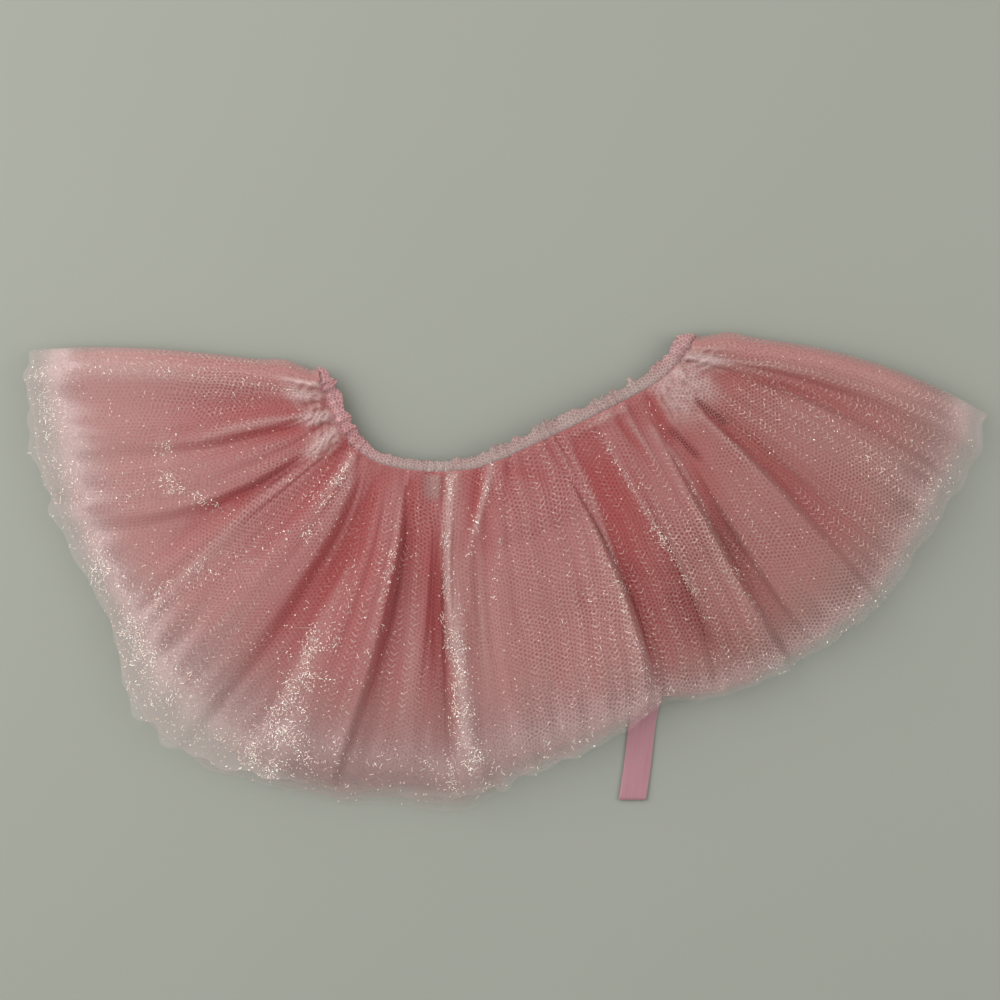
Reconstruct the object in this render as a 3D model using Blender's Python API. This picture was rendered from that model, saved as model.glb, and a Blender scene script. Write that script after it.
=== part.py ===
"""A small pull-on ballet tutu laid flat on its front.

Three rings of net hang from an elastic waist casing: a clear glitter net outside
and two pink nets inside it.  Laid down, each ring is a flattened tube, with a plain
lower panel, round turned sides and an upper panel pushed up into pleats.  A satin
bow is stitched to the side that faces down, and its long tail runs out past the hem.

Plan: +X to the right, +Y from the hem towards the waist, +Z up, origin on the surface
under the middle of the part.  Sizes are in millimetres until a mesh is written.
"""
import math

import bpy
import numpy as np

MM = 0.001

# Driving dimensions, in millimetres
NET_WALL = 1.2
SEAM_GAP = 0.3
SKIRT_START_GAP = 0.9        # from the casing to the nets sewn under it
STEEPEST_PLEAT = 1.1         # height gained for each unit of width
INNER_CALM = 0.8             # pleat height of each ring inside against the one outside
LAYER_PITCH = NET_WALL + SEAM_GAP
LAYERS = 3
PANEL_SPACE = 3.2            # between the middles of the innermost ring's two panels
CASING_HEIGHT = 4.4          # waist edge to stitched lower edge
CASING_WALL = 1.0
CASING_SPREAD = 5.0          # between the middles of its two panels
ELASTIC_THICKNESS = 1.0
ELASTIC_TOP = 1.4
ELASTIC_BOTTOM = 4.1
GATHER_COUNT_UPPER = 30
GATHER_COUNT_LOWER = 15
GATHER_DEPTH = 0.3
FRILL_HEIGHT = 0.9
GLITTER_HEM_DROP = 4.5       # how far the clear net shows past the pink one
UNDERSKIRT_HEM_DROP = -3.0
RIBBON_WIDTH = 9.5
RIBBON_WALL = 1.0
LIFT_REACH = 13.0            # the nets lie level over a ribbon this far from its middle
LIFT_FADE = 16.0
LOWER_PANEL_STEP = 9.0       # closest columns of the plain lower panels
STATION_NUDGE = 0.05         # small steps, for directions
SHARE_NUDGE = 0.02
WAIST_SAMPLES = 400
TURN_ANGLES = (math.radians(45), 0.0, math.radians(-45))
TAIL_PINCH = 0.7             # ribbon width at the knot against its full width
LOOP_PINCH = 0.6
KNOT_SHOULDER = 0.6          # height of its straight sides against its own
KNOT_ROUNDING = 0.9

# One row for each crease that runs from waist to hem, from the left side to the right.
# Waist, middle and hem are places in plan; the rises are heights above the flat net.
FOLD_COLUMNS = ("name", "waist_x", "waist_y", "middle_x", "middle_y", "hem_x", "hem_y",
                "rise_middle", "rise_hem")
FOLD_ROWS = (
    ("side_left",        -61.2,   66.8,  -116.5,   72.0,  -160.0,   72.5,  0.0, 0.0),
    ("upper_band",       -60.3,   64.2,  -114.5,   68.0,  -161.5,   67.5,  3.0, 3.0),
    ("upper_valley",     -59.3,   61.7,  -111.0,   57.5,  -159.5,   57.5,  0.0, 1.0),
    ("thin_ridge",       -58.4,   59.3,  -105.0,   46.0,  -157.0,   45.5,  4.0, 2.5),
    ("thin_valley",      -57.5,   57.1,  -103.5,   42.0,  -156.0,   39.0,  0.5, 0.5),
    ("wide_left_top",    -56.7,   54.9,  -103.5,   35.5,  -154.5,   29.5,  4.0, 3.0),
    ("wide_left_edge",   -55.7,   52.8,  -103.0,   25.5,  -152.5,   20.0,  5.0, 4.0),
    ("wedge_valley",     -54.6,   50.8,  -102.0,   19.0,  -145.5,    4.0,  0.0, 0.0),
    ("pleat_a_left",     -53.3,   48.7,   -97.0,   14.0,  -135.0,  -15.0,  4.0, 3.5),
    ("pleat_a_dip",      -51.8,   46.7,   -87.0,   12.5,  -129.0,  -28.5,  2.5, 2.5),
    ("pleat_a_ridge",    -50.0,   44.8,   -73.5,   12.0,  -119.0,  -42.0,  6.0, 4.5),
    ("pleat_a_edge",     -47.8,   43.0,   -67.0,    4.5,  -108.5,  -51.5,  5.0, 3.0),
    ("valley_ab",        -45.0,   41.4,   -60.5,   -4.0,   -97.0,  -58.5,  0.0, 0.0),
    ("pleat_b_left",     -41.8,   40.2,   -54.5,   -8.0,   -86.0,  -67.0,  4.5, 4.0),
    ("pleat_b_crest",    -38.2,   39.3,   -48.5,  -12.5,   -72.5,  -71.0,  6.0, 4.5),
    ("pleat_b_edge",     -34.8,   38.7,   -42.0,  -12.5,   -61.5,  -73.0,  6.5, 4.5),
    ("valley_bc",        -32.5,   38.4,   -38.0,  -15.0,   -54.5,  -75.0,  0.0, 0.0),
    ("low_ridge",        -27.5,   38.1,   -29.0,  -18.0,   -39.5,  -75.0,  2.0, 2.0),
    ("valley_c",         -22.5,   38.0,   -24.0,  -17.0,   -23.5,  -77.5,  0.0, 0.0),
    ("pleat_c_edge",     -19.0,   38.1,   -20.5,  -16.0,   -16.0,  -77.0,  6.5, 5.0),
    ("pleat_c_crest",    -15.5,   38.4,   -15.0,  -16.0,    -8.5,  -75.0,  6.0, 4.0),
    ("short_valley",     -10.5,   39.3,    -9.0,  -15.0,    -2.5,  -73.5,  3.5, 3.0),
    ("pleat_d_left",      -5.5,   41.0,    -2.5,  -14.5,     5.5,  -70.0,  5.5, 4.0),
    ("pleat_d_flat",       2.0,   44.3,    15.0,  -11.5,    21.0,  -64.0,  4.5, 4.0),
    ("pleat_d_crest",      8.0,   47.1,    32.5,  -11.0,    39.0,  -55.0,  5.5, 5.0),
    ("pleat_d_edge",      11.5,   48.8,    41.0,  -10.0,    48.5,  -50.5,  6.5, 6.0),
    ("gap_left",          14.5,   50.2,    45.5,  -11.0,    54.5,  -45.0,  0.0, 0.0),
    ("gap_right",         28.0,   56.6,    60.0,   -8.0,    69.0,  -44.0,  0.0, 0.0),
    ("pleat_e_left",      32.0,   58.6,    65.0,   -6.5,    75.5,  -42.5,  5.0, 4.0),
    ("pleat_e_flat",      37.0,   61.1,    70.5,   -2.0,    86.0,  -39.0,  5.0, 4.0),
    ("pleat_e_edge",      42.5,   64.0,    76.0,    4.0,    96.5,  -32.5,  6.0, 4.5),
    ("valley_ef",         45.5,   65.7,    79.5,    6.0,   103.0,  -28.5,  0.0, 0.0),
    ("pleat_f_left",      48.0,   67.2,    83.0,    8.5,   108.0,  -25.0,  4.5, 3.5),
    ("pleat_f_crest",     51.0,   69.2,    90.5,   15.5,   117.5,  -18.0,  5.5, 4.0),
    ("pleat_f_edge",      53.0,   70.8,    98.0,   23.0,   126.5,  -10.0,  5.5, 4.0),
    ("valley_fg",         54.5,   72.2,   102.0,   26.5,   131.5,   -4.5,  0.0, 0.0),
    ("wide_right_low",    56.0,   73.8,   107.0,   34.5,   139.5,    8.5,  3.5, 3.0),
    ("wide_right_top",    57.4,   75.5,   111.5,   54.0,   151.0,   29.5,  5.0, 3.5),
    ("lower_valley",      58.6,   77.1,   114.0,   61.5,   157.0,   40.0,  0.0, 0.0),
    ("lower_band",        59.7,   78.7,   115.5,   66.5,   161.0,   46.5,  3.5, 2.5),
    ("side_right",        60.7,   80.2,   116.0,   71.0,   162.0,   52.5,  0.0, 0.0),
)

# How far down the skirt each ring of points lies, as a share of its length
ROW_SHARES = (0.0, 0.08, 0.19, 0.34, 0.52, 0.75, 1.0)

# Middle lines of the ribbon in plan, from the knot outwards
LONG_TAIL_ROUTE = ((27.5, 33.5), (37.0, 19.0), (46.5, 3.0), (52.5, -12.5), (51.0, -26.5),
                   (50.0, -40.5), (47.5, -53.5), (46.0, -67.0), (44.0, -81.0))
SHORT_TAIL_ROUTE = ((21.5, 32.5), (18.0, 22.5), (18.5, 10.0))
LEFT_LOOP_ROUTE = ((19.0, 38.0), (10.0, 34.5), (0.5, 30.5))
RIGHT_LOOP_ROUTE = ((31.5, 43.5), (41.5, 31.5), (51.0, 17.5))
KNOT_CENTRE = (24.5, 39.5)
KNOT_LENGTH = 8.0
KNOT_WIDTH = 10.0
KNOT_TURN = math.radians(22.0)
KNOT_HEIGHT = 2 * RIBBON_WALL + SEAM_GAP
LOOP_HEIGHT = 2 * RIBBON_WALL + SEAM_GAP


def fold_column(name):
    """One column of the fold table as an array."""
    place = FOLD_COLUMNS.index(name)
    return np.array([row[place] for row in FOLD_ROWS])


def smooth_through(stations, values, wanted):
    """A smooth curve through the values that never swings past them (monotone cubic)."""
    step = np.diff(stations)
    grade = np.diff(values) / step
    slope = np.zeros(len(values))
    slope[0] = grade[0]
    slope[-1] = grade[-1]
    for i in range(1, len(values) - 1):
        if grade[i - 1] * grade[i] > 0:
            near = 2 * step[i] + step[i - 1]
            far = step[i] + 2 * step[i - 1]
            slope[i] = (near + far) / (near / grade[i - 1] + far / grade[i])
    cell = np.clip(np.searchsorted(stations, wanted, side="right") - 1, 0, len(step) - 1)
    share = (wanted - stations[cell]) / step[cell]
    rise = share * share * (3 - 2 * share)
    into = share * (1 - share) ** 2
    out_of = share * share * (share - 1)
    return (values[cell] * (1 - rise) + values[cell + 1] * rise
            + step[cell] * (slope[cell] * into + slope[cell + 1] * out_of))


def ease(share):
    """A soft start and a soft stop between 0 and 1."""
    share = np.clip(share, 0.0, 1.0)
    return share * share * (3 - 2 * share)


def unit(vectors):
    """Vectors of length one."""
    return vectors / np.maximum(np.linalg.norm(vectors, axis=-1, keepdims=True), 1e-9)


def fold_places(which):
    """Plan places of every crease at its waist, middle or hem."""
    return np.column_stack([fold_column(which + "_x"), fold_column(which + "_y")])


def fold_stations():
    """A number for each crease that grows with the mean width of the cloth between them."""
    widths = [np.linalg.norm(np.diff(fold_places(which), axis=0), axis=1)
              for which in ("waist", "middle", "hem")]
    return np.concatenate([[0.0], np.cumsum(sum(widths) / 3)])


STATIONS = fold_stations()


def across(name, wanted):
    """A column of the fold table read anywhere across the garment."""
    return smooth_through(STATIONS, fold_column(name), wanted)


def plan_across(which, wanted):
    """Plan places at the waist, middle or hem, read anywhere across the garment."""
    return np.column_stack([across(which + "_x", wanted), across(which + "_y", wanted)])


def waist_frame(wanted):
    """Waist edge in plan, its direction to the right and its direction to the hem."""
    edge = plan_across("waist", wanted)
    ahead = plan_across("waist", np.minimum(wanted + STATION_NUDGE, STATIONS[-1]))
    behind = plan_across("waist", np.maximum(wanted - STATION_NUDGE, STATIONS[0]))
    along = unit(ahead - behind)
    down = np.column_stack([along[:, 1], -along[:, 0]])
    return edge, along, down


def skirt_plan(wanted, share, drop):
    """Plan places of the skirt at a share of its length, with the hem let down by drop."""
    edge, along, down = waist_frame(wanted)
    top = edge + down * (CASING_HEIGHT + SKIRT_START_GAP)
    middle = plan_across("middle", wanted)
    hem = plan_across("hem", wanted)
    length = np.linalg.norm(middle - top, axis=1) + np.linalg.norm(hem - middle, axis=1)
    f = (share * (1 + drop / length))[:, None]
    return top * (1 - 3 * f + 2 * f * f) + middle * 4 * f * (1 - f) + hem * (2 * f * f - f)


def upper_columns():
    """Stations of the pleated upper panel: each crease and one place between each two."""
    between = (STATIONS[:-1] + STATIONS[1:]) / 2
    return np.sort(np.concatenate([STATIONS, between]))


def lower_columns():
    """Stations of the plain lower panel, some creases apart, from right to left."""
    hem = fold_places("hem")
    chosen = [0]
    for i in range(1, len(STATIONS) - 1):
        far_enough = np.linalg.norm(hem[i] - hem[chosen[-1]]) > LOWER_PANEL_STEP
        if far_enough and np.linalg.norm(hem[i] - hem[-1]) > LOWER_PANEL_STEP:
            chosen.append(i)
    chosen.append(len(STATIONS) - 1)
    return STATIONS[chosen][::-1]


def distance_to_route(places, route):
    """Plan distance from each place to a ribbon's middle line."""
    route = np.array(route)
    best = np.full(len(places), 1e9)
    for start, stop in zip(route[:-1], route[1:]):
        run = stop - start
        share = np.clip((places - start) @ run / (run @ run), 0, 1)
        nearest = start + share[:, None] * run
        best = np.minimum(best, np.linalg.norm(places - nearest, axis=1))
    return best


def ribbon_lift(places):
    """How far the nets are held up by the ribbon that lies under them."""
    lift = np.zeros(len(places))
    for route, height in ((LONG_TAIL_ROUTE, RIBBON_WALL), (SHORT_TAIL_ROUTE, RIBBON_WALL),
                          (LEFT_LOOP_ROUTE, LOOP_HEIGHT), (RIGHT_LOOP_ROUTE, LOOP_HEIGHT)):
        far = distance_to_route(places, route)
        level = (height + SEAM_GAP) * (1 - ease((far - LIFT_REACH) / LIFT_FADE))
        lift = np.maximum(lift, level)
    return lift


def fold_rise(wanted, share):
    """Height of the pleats above the flat net: nothing at the waist, most at the middle."""
    middle = across("rise_middle", wanted)
    hem = across("rise_hem", wanted)
    upper = middle * ease(share / 0.5)
    lower = middle + (hem - middle) * ease((share - 0.5) / 0.5)
    return np.where(share < 0.5, upper, lower)


def turn_radius(level):
    """Radius of a ring's round side, outermost ring first."""
    return PANEL_SPACE / 2 + LAYER_PITCH * (LAYERS - 1 - level)


SIDE_CENTRE = NET_WALL / 2 + turn_radius(0)


def soften(widths, heights):
    """Lower the pleats that would be steeper than the net can stand."""
    most = widths * STEEPEST_PLEAT
    heights = heights.copy()
    for i in range(1, len(heights)):
        heights[i] = min(heights[i], heights[i - 1] + most[i - 1])
    for i in range(len(heights) - 2, -1, -1):
        heights[i] = min(heights[i], heights[i + 1] + most[i])
    return heights


def widths_between(columns, share, drop):
    """Widths of cloth between columns, measured square to the creases."""
    plan = skirt_plan(columns, share, drop)
    run = unit(skirt_plan(columns, share + SHARE_NUDGE, drop) - plan)
    run = unit(run[1:] + run[:-1])
    step = np.diff(plan, axis=0)
    return np.abs(step[:, 0] * run[:, 1] - step[:, 1] * run[:, 0])


def layer_spacing(grid):
    """Upright distance that keeps layers LAYER_PITCH apart, at each point of a panel."""
    flattest = np.ones(grid.shape[:2])
    here = grid[:-1, :-1]
    below = grid[1:, :-1]
    beside = grid[:-1, 1:]
    across_cell = grid[1:, 1:]
    for first, second in ((below, across_cell), (across_cell, beside)):
        facing = np.abs(unit(np.cross(first - here, second - here))[..., 2])
        for rows in (slice(0, -1), slice(1, None)):
            for columns in (slice(0, -1), slice(1, None)):
                flattest[rows, columns] = np.minimum(flattest[rows, columns], facing)
    return LAYER_PITCH / flattest


def upper_panel(level, drop):
    """Middle surface of the pleated upper panel of one ring, as rows of points."""
    columns = upper_columns()
    plan = np.array([skirt_plan(columns, share, drop) for share in ROW_SHARES])
    rise = np.array([fold_rise(columns, share) for share in ROW_SHARES])
    rise[:, :2] = 0
    rise[:, -2:] = 0
    for row, share in enumerate(ROW_SHARES):
        rise[row] = soften(widths_between(columns, share, drop), rise[row])
    lift = np.array([ribbon_lift(row) for row in plan])
    grid = np.dstack([plan, SIDE_CENTRE + turn_radius(0) + lift + rise])
    for inner in range(1, level + 1):
        tucked = grid[..., 2] - layer_spacing(grid)
        calmer = SIDE_CENTRE + turn_radius(inner) + lift + rise * INNER_CALM ** inner
        grid[..., 2] = np.minimum(tucked, calmer)
    return grid


def side_turn(level, share, drop, right_side):
    """Points round the turned side of one ring, from its upper panel to its lower one."""
    station = STATIONS[-1:] if right_side else STATIONS[:1]
    sign = 1 if right_side else -1
    radius = turn_radius(level)
    centre = skirt_plan(station, share, drop)[0]
    run = unit(skirt_plan(station, share + SHARE_NUDGE, drop)[0] - centre)
    casing_outward = sign * waist_frame(station)[1][0]
    skirt_outward = sign * np.array([-run[1], run[0]])
    turned = ease(share / ROW_SHARES[2])
    outward = unit(casing_outward * (1 - turned) + skirt_outward * turned)
    height = SIDE_CENTRE + ribbon_lift(centre[None, :])[0]
    points = []
    for angle in TURN_ANGLES:
        side = centre + outward * radius * math.cos(angle)
        points.append([side[0], side[1], height + radius * math.sin(angle)])
    return points if right_side else points[::-1]


def skirt_middle(level, drop):
    """Middle surface of one ring of net: rows of closed rings from waist to hem."""
    upper = upper_panel(level, drop)
    rows = []
    for number, share in enumerate(ROW_SHARES):
        plan = skirt_plan(lower_columns(), share, drop)
        lower_z = SIDE_CENTRE - turn_radius(level) + ribbon_lift(plan)
        lower = np.column_stack([plan, lower_z])
        right = side_turn(level, share, drop, True)
        left = side_turn(level, share, drop, False)
        rows.append(np.vstack([upper[number], right, lower, left]))
    return np.array(rows)


def outward_normals(middle):
    """Normals of a grid of rows of closed rings, pointing out of the flattened tube."""
    around = np.roll(middle, -1, axis=1) - np.roll(middle, 1, axis=1)
    along = np.gradient(middle, axis=0)
    return unit(np.cross(along, around))


def wall_faces(rows, columns):
    """Triangles of a wall between an outer grid and an inner one, open at both ends."""
    count = rows * columns

    def outer(row, column):
        return row * columns + column % columns

    def inner(row, column):
        return count + outer(row, column)

    faces = []
    for i in range(columns):
        for j in range(rows - 1):
            faces.append((outer(j, i), outer(j + 1, i), outer(j + 1, i + 1)))
            faces.append((outer(j, i), outer(j + 1, i + 1), outer(j, i + 1)))
            faces.append((inner(j, i), inner(j + 1, i + 1), inner(j + 1, i)))
            faces.append((inner(j, i), inner(j, i + 1), inner(j + 1, i + 1)))
        last = rows - 1
        faces.append((outer(0, i), outer(0, i + 1), inner(0, i + 1)))
        faces.append((outer(0, i), inner(0, i + 1), inner(0, i)))
        faces.append((outer(last, i), inner(last, i + 1), outer(last, i + 1)))
        faces.append((outer(last, i), inner(last, i), inner(last, i + 1)))
    return faces


def make_material(name, colour, roughness):
    """A plain material with a colour and a roughness."""
    material = bpy.data.materials.new(name)
    material.use_nodes = True
    shader = material.node_tree.nodes["Principled BSDF"]
    shader.inputs["Base Color"].default_value = (*colour, 1.0)
    shader.inputs["Roughness"].default_value = roughness
    shader.inputs["Metallic"].default_value = 0.0
    return material


def make_object(name, points, faces, colour, roughness):
    """An object from points in millimetres."""
    mesh = bpy.data.meshes.new(name)
    mesh.from_pydata((np.asarray(points) * MM).tolist(), [], faces)
    mesh.materials.append(make_material(name, colour, roughness))
    mesh.shade_smooth()
    mesh.set_sharp_from_angle(angle=math.radians(40))
    item = bpy.data.objects.new(name, mesh)
    bpy.context.scene.collection.objects.link(item)
    return item


def make_skirt(name, level, drop, colour, roughness):
    """One ring of net as a closed wall, level with the surface where it lies on it."""
    middle = skirt_middle(level, drop)
    normals = outward_normals(middle)
    outer = middle + normals * NET_WALL / 2
    inner = middle - normals * NET_WALL / 2
    outer[..., 2] = np.maximum(outer[..., 2], 0.0)
    points = np.vstack([outer.reshape(-1, 3), inner.reshape(-1, 3)])
    rows, columns = middle.shape[:2]
    return make_object(name, points, wall_faces(rows, columns), colour, roughness)


def sweep_around(name, frames, profile_at, colour, roughness):
    """A closed band swept round the waist: a profile of (down, out) pairs at each frame."""
    points = []
    for number, (place, down, out) in enumerate(frames):
        for reach, rise in profile_at(number):
            points.append(place + down * reach + out * rise)
    size = len(profile_at(0))
    count = len(frames)
    faces = []
    for i in range(count):
        for j in range(size):
            a = i * size + j
            b = i * size + (j + 1) % size
            c = (i + 1) % count * size + (j + 1) % size
            d = (i + 1) % count * size + j
            faces.append((a, c, b))
            faces.append((a, d, c))
    return make_object(name, points, faces, colour, roughness)


def waist_stations(count):
    """Places evenly spaced along the waist edge."""
    fine = np.linspace(STATIONS[0], STATIONS[-1], WAIST_SAMPLES)
    edge = plan_across("waist", fine)
    run = np.concatenate([[0.0], np.cumsum(np.linalg.norm(np.diff(edge, axis=0), axis=1))])
    return np.interp(np.linspace(0, run[-1], count), run, fine)


def waist_frames():
    """Frames round the flattened waist ring: place, direction to the hem, direction out."""
    radius = CASING_SPREAD / 2
    low = CASING_WALL + SEAM_GAP + ELASTIC_THICKNESS / 2
    centre_z = low + radius
    up = np.array([0.0, 0.0, 1.0])
    frames = []
    for count, sign in ((2 * GATHER_COUNT_UPPER + 1, 1), (2 * GATHER_COUNT_LOWER + 1, -1)):
        stations = waist_stations(count)[::sign]
        edge, along, down = waist_frame(stations)
        lift = ribbon_lift(edge)
        for i in range(count):
            place = np.array([edge[i, 0], edge[i, 1], centre_z + lift[i] + sign * radius])
            frames.append((place, np.array([down[i, 0], down[i, 1], 0.0]), sign * up))
        outward = sign * np.array([along[-1, 0], along[-1, 1], 0.0])
        facing = np.array([down[-1, 0], down[-1, 1], 0.0])
        centre = np.array([edge[-1, 0], edge[-1, 1], centre_z + lift[-1]])
        for angle in TURN_ANGLES:
            out = outward * math.cos(angle) + sign * up * math.sin(angle)
            frames.append((centre + out * radius, facing, out))
    return frames


def make_waist():
    """The casing folded over its elastic, gathered on the outside, and the elastic in it."""
    frames = waist_frames()
    inside = ELASTIC_THICKNESS / 2 + SEAM_GAP
    outside = inside + CASING_WALL
    roof = ELASTIC_TOP - SEAM_GAP

    def casing_profile(number):
        fold = number % 2
        frill = -FRILL_HEIGHT * fold * (0.55 + 0.45 * math.sin(number * 1.7))
        face = outside - GATHER_DEPTH * (1 - fold)
        return ((CASING_HEIGHT, inside), (CASING_HEIGHT, face), (frill, face),
                (frill, -outside), (CASING_HEIGHT, -outside), (CASING_HEIGHT, -inside),
                (roof, -inside), (roof, inside))

    def elastic_profile(number):
        half = ELASTIC_THICKNESS / 2
        return ((ELASTIC_BOTTOM, -half), (ELASTIC_BOTTOM, half),
                (ELASTIC_TOP, half), (ELASTIC_TOP, -half))

    sweep_around("waist_casing", frames, casing_profile, (0.86, 0.66, 0.66), 0.7)
    sweep_around("waist_elastic", frames, elastic_profile, (0.9, 0.88, 0.86), 0.8)


def strip_sides(route, widths):
    """Left and right edges in plan of a ribbon along a route."""
    route = np.array(route)
    run = unit(np.gradient(route, axis=0))
    side = np.column_stack([-run[:, 1], run[:, 0]])
    half = np.array(widths)[:, None] / 2
    return route + side * half, route - side * half


def make_strip(name, route, widths, sections, colour, roughness):
    """A ribbon as a closed band: sections hold (route place, lower z, upper z)."""
    left, right = strip_sides(route, widths)
    points = []
    for place, low, high in sections:
        points.append((*left[place], low))
        points.append((*right[place], low))
        points.append((*right[place], high))
        points.append((*left[place], high))
    faces = [(0, 1, 2), (0, 2, 3)]
    for i in range(len(sections) - 1):
        for j in range(4):
            a = 4 * i + j
            b = 4 * i + (j + 1) % 4
            faces.append((a, a + 4, b + 4))
            faces.append((a, b + 4, b))
    end = 4 * (len(sections) - 1)
    faces.append((end, end + 2, end + 1))
    faces.append((end, end + 3, end + 2))
    return make_object(name, points, faces, colour, roughness)


def make_tail(name, route, colour):
    """A flat ribbon tail on the surface, pinched a little at the knot."""
    widths = [RIBBON_WIDTH * (TAIL_PINCH if i == 0 else 1.0) for i in range(len(route))]
    sections = [(i, 0.0, RIBBON_WALL) for i in range(len(route))]
    return make_strip(name, route, widths, sections, colour, 0.4)


def loop_points(route):
    """Middle line of a ribbon loop pressed flat: out along the surface and back on top."""
    low = RIBBON_WALL / 2
    high = LOOP_HEIGHT - RIBBON_WALL / 2
    reach = np.array(route)
    tip = reach[-1] + unit(reach[-1] - reach[-2]) * (high - low) / 2
    out = [(x, y, low) for x, y in reach]
    back = [(x, y, high) for x, y in reach[::-1]]
    return np.array(out + [(tip[0], tip[1], (low + high) / 2)] + back)


def make_loop(name, route, colour):
    """A flat ribbon loop as one wall that turns back over itself."""
    line = loop_points(route)
    count = len(line)
    plan_run = np.array(route[-1]) - np.array(route[0])
    side = np.array([-plan_run[1], plan_run[0], 0.0]) / np.linalg.norm(plan_run)
    forward = np.gradient(line, axis=0)
    thickness = unit(np.cross(forward, side)) * RIBBON_WALL / 2
    points = []
    for i in range(count):
        at_knot = i in (0, count - 1)
        half = side * RIBBON_WIDTH / 2 * (LOOP_PINCH if at_knot else 1.0)
        points.append(line[i] + half - thickness[i])
        points.append(line[i] - half - thickness[i])
        points.append(line[i] - half + thickness[i])
        points.append(line[i] + half + thickness[i])
    points = np.array(points)
    points[:, 2] = np.clip(points[:, 2], 0.0, LOOP_HEIGHT)
    faces = [(0, 1, 2), (0, 2, 3)]
    for i in range(count - 1):
        for j in range(4):
            a = 4 * i + j
            b = 4 * i + (j + 1) % 4
            faces.append((a, a + 4, b + 4))
            faces.append((a, b + 4, b))
    end = 4 * (count - 1)
    faces.append((end, end + 2, end + 1))
    faces.append((end, end + 3, end + 2))
    return make_object(name, points, faces, colour, 0.4)


def make_knot(name, colour):
    """The wrapped middle of the bow: a low block with its upper edges rounded over."""
    along = np.array([math.cos(KNOT_TURN), math.sin(KNOT_TURN)])
    down = np.array([along[1], -along[0]])
    points = []
    for height, shrink in ((0.0, 0.0), (KNOT_HEIGHT * KNOT_SHOULDER, 0.0),
                           (KNOT_HEIGHT, KNOT_ROUNDING)):
        for sx, sy in ((-1, 1), (1, 1), (1, -1), (-1, -1)):
            place = (np.array(KNOT_CENTRE) + along * sx * (KNOT_LENGTH / 2 - shrink)
                     - down * sy * (KNOT_WIDTH / 2 - shrink))
            points.append((place[0], place[1], height))
    faces = [(0, 1, 2, 3), (8, 11, 10, 9)]
    for i in range(2):
        for j in range(4):
            a = 4 * i + j
            b = 4 * i + (j + 1) % 4
            faces.append((a, a + 4, b + 4, b))
    return make_object(name, points, faces, colour, 0.4)


def clear_scene():
    """Remove what the file starts with."""
    for item in list(bpy.data.objects):
        bpy.data.objects.remove(item, do_unlink=True)


def centre_on_origin():
    """Put the middle of the whole part over the origin."""
    meshes = [item.data for item in bpy.data.objects if item.type == "MESH"]
    places = np.array([vertex.co[:] for mesh in meshes for vertex in mesh.vertices])
    middle = (places.min(axis=0) + places.max(axis=0)) / 2
    for mesh in meshes:
        for vertex in mesh.vertices:
            vertex.co.x -= middle[0]
            vertex.co.y -= middle[1]


def build():
    """The whole tutu."""
    clear_scene()
    make_skirt("glitter_skirt", 0, GLITTER_HEM_DROP, (0.78, 0.66, 0.63), 0.35)
    make_skirt("pink_skirt", 1, 0.0, (0.75, 0.30, 0.34), 0.6)
    make_skirt("pink_underskirt", 2, UNDERSKIRT_HEM_DROP, (0.72, 0.26, 0.30), 0.6)
    make_waist()
    satin = (0.80, 0.32, 0.42)
    make_knot("bow_knot", satin)
    make_loop("bow_loop_left", LEFT_LOOP_ROUTE, satin)
    make_loop("bow_loop_right", RIGHT_LOOP_ROUTE, satin)
    make_tail("ribbon_tail_short", SHORT_TAIL_ROUTE, satin)
    make_tail("ribbon_tail_long", LONG_TAIL_ROUTE, satin)
    centre_on_origin()


build()
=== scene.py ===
"""The looks of a small pull-on ballet tutu laid flat on its front.

Three rings of net, a ruched casing and a satin bow are made as thin cloth on the forms of
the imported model's solids, and its elastic gets a knitted finish.  Tables are in millimetres
in plan, +X to the right, +Y from the hem towards the waist, +Z up; points are moved onto the
frame when a mesh is made.
"""
import math

import bpy
import numpy as np
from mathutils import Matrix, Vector


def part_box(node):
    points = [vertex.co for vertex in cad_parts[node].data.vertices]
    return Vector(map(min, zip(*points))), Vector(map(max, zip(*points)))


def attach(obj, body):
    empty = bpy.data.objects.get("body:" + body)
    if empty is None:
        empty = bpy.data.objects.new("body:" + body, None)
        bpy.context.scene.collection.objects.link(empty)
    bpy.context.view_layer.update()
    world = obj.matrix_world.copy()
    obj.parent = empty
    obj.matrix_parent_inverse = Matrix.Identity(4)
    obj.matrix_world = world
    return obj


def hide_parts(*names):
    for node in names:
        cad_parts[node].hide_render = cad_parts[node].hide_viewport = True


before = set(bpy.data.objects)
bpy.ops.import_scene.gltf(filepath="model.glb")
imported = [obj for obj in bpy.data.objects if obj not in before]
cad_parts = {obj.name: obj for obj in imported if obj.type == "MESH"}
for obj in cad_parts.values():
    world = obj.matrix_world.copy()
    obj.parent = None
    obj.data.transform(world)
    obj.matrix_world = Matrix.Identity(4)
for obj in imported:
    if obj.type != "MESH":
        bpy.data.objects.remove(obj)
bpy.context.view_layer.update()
MM = 0.001

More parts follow.
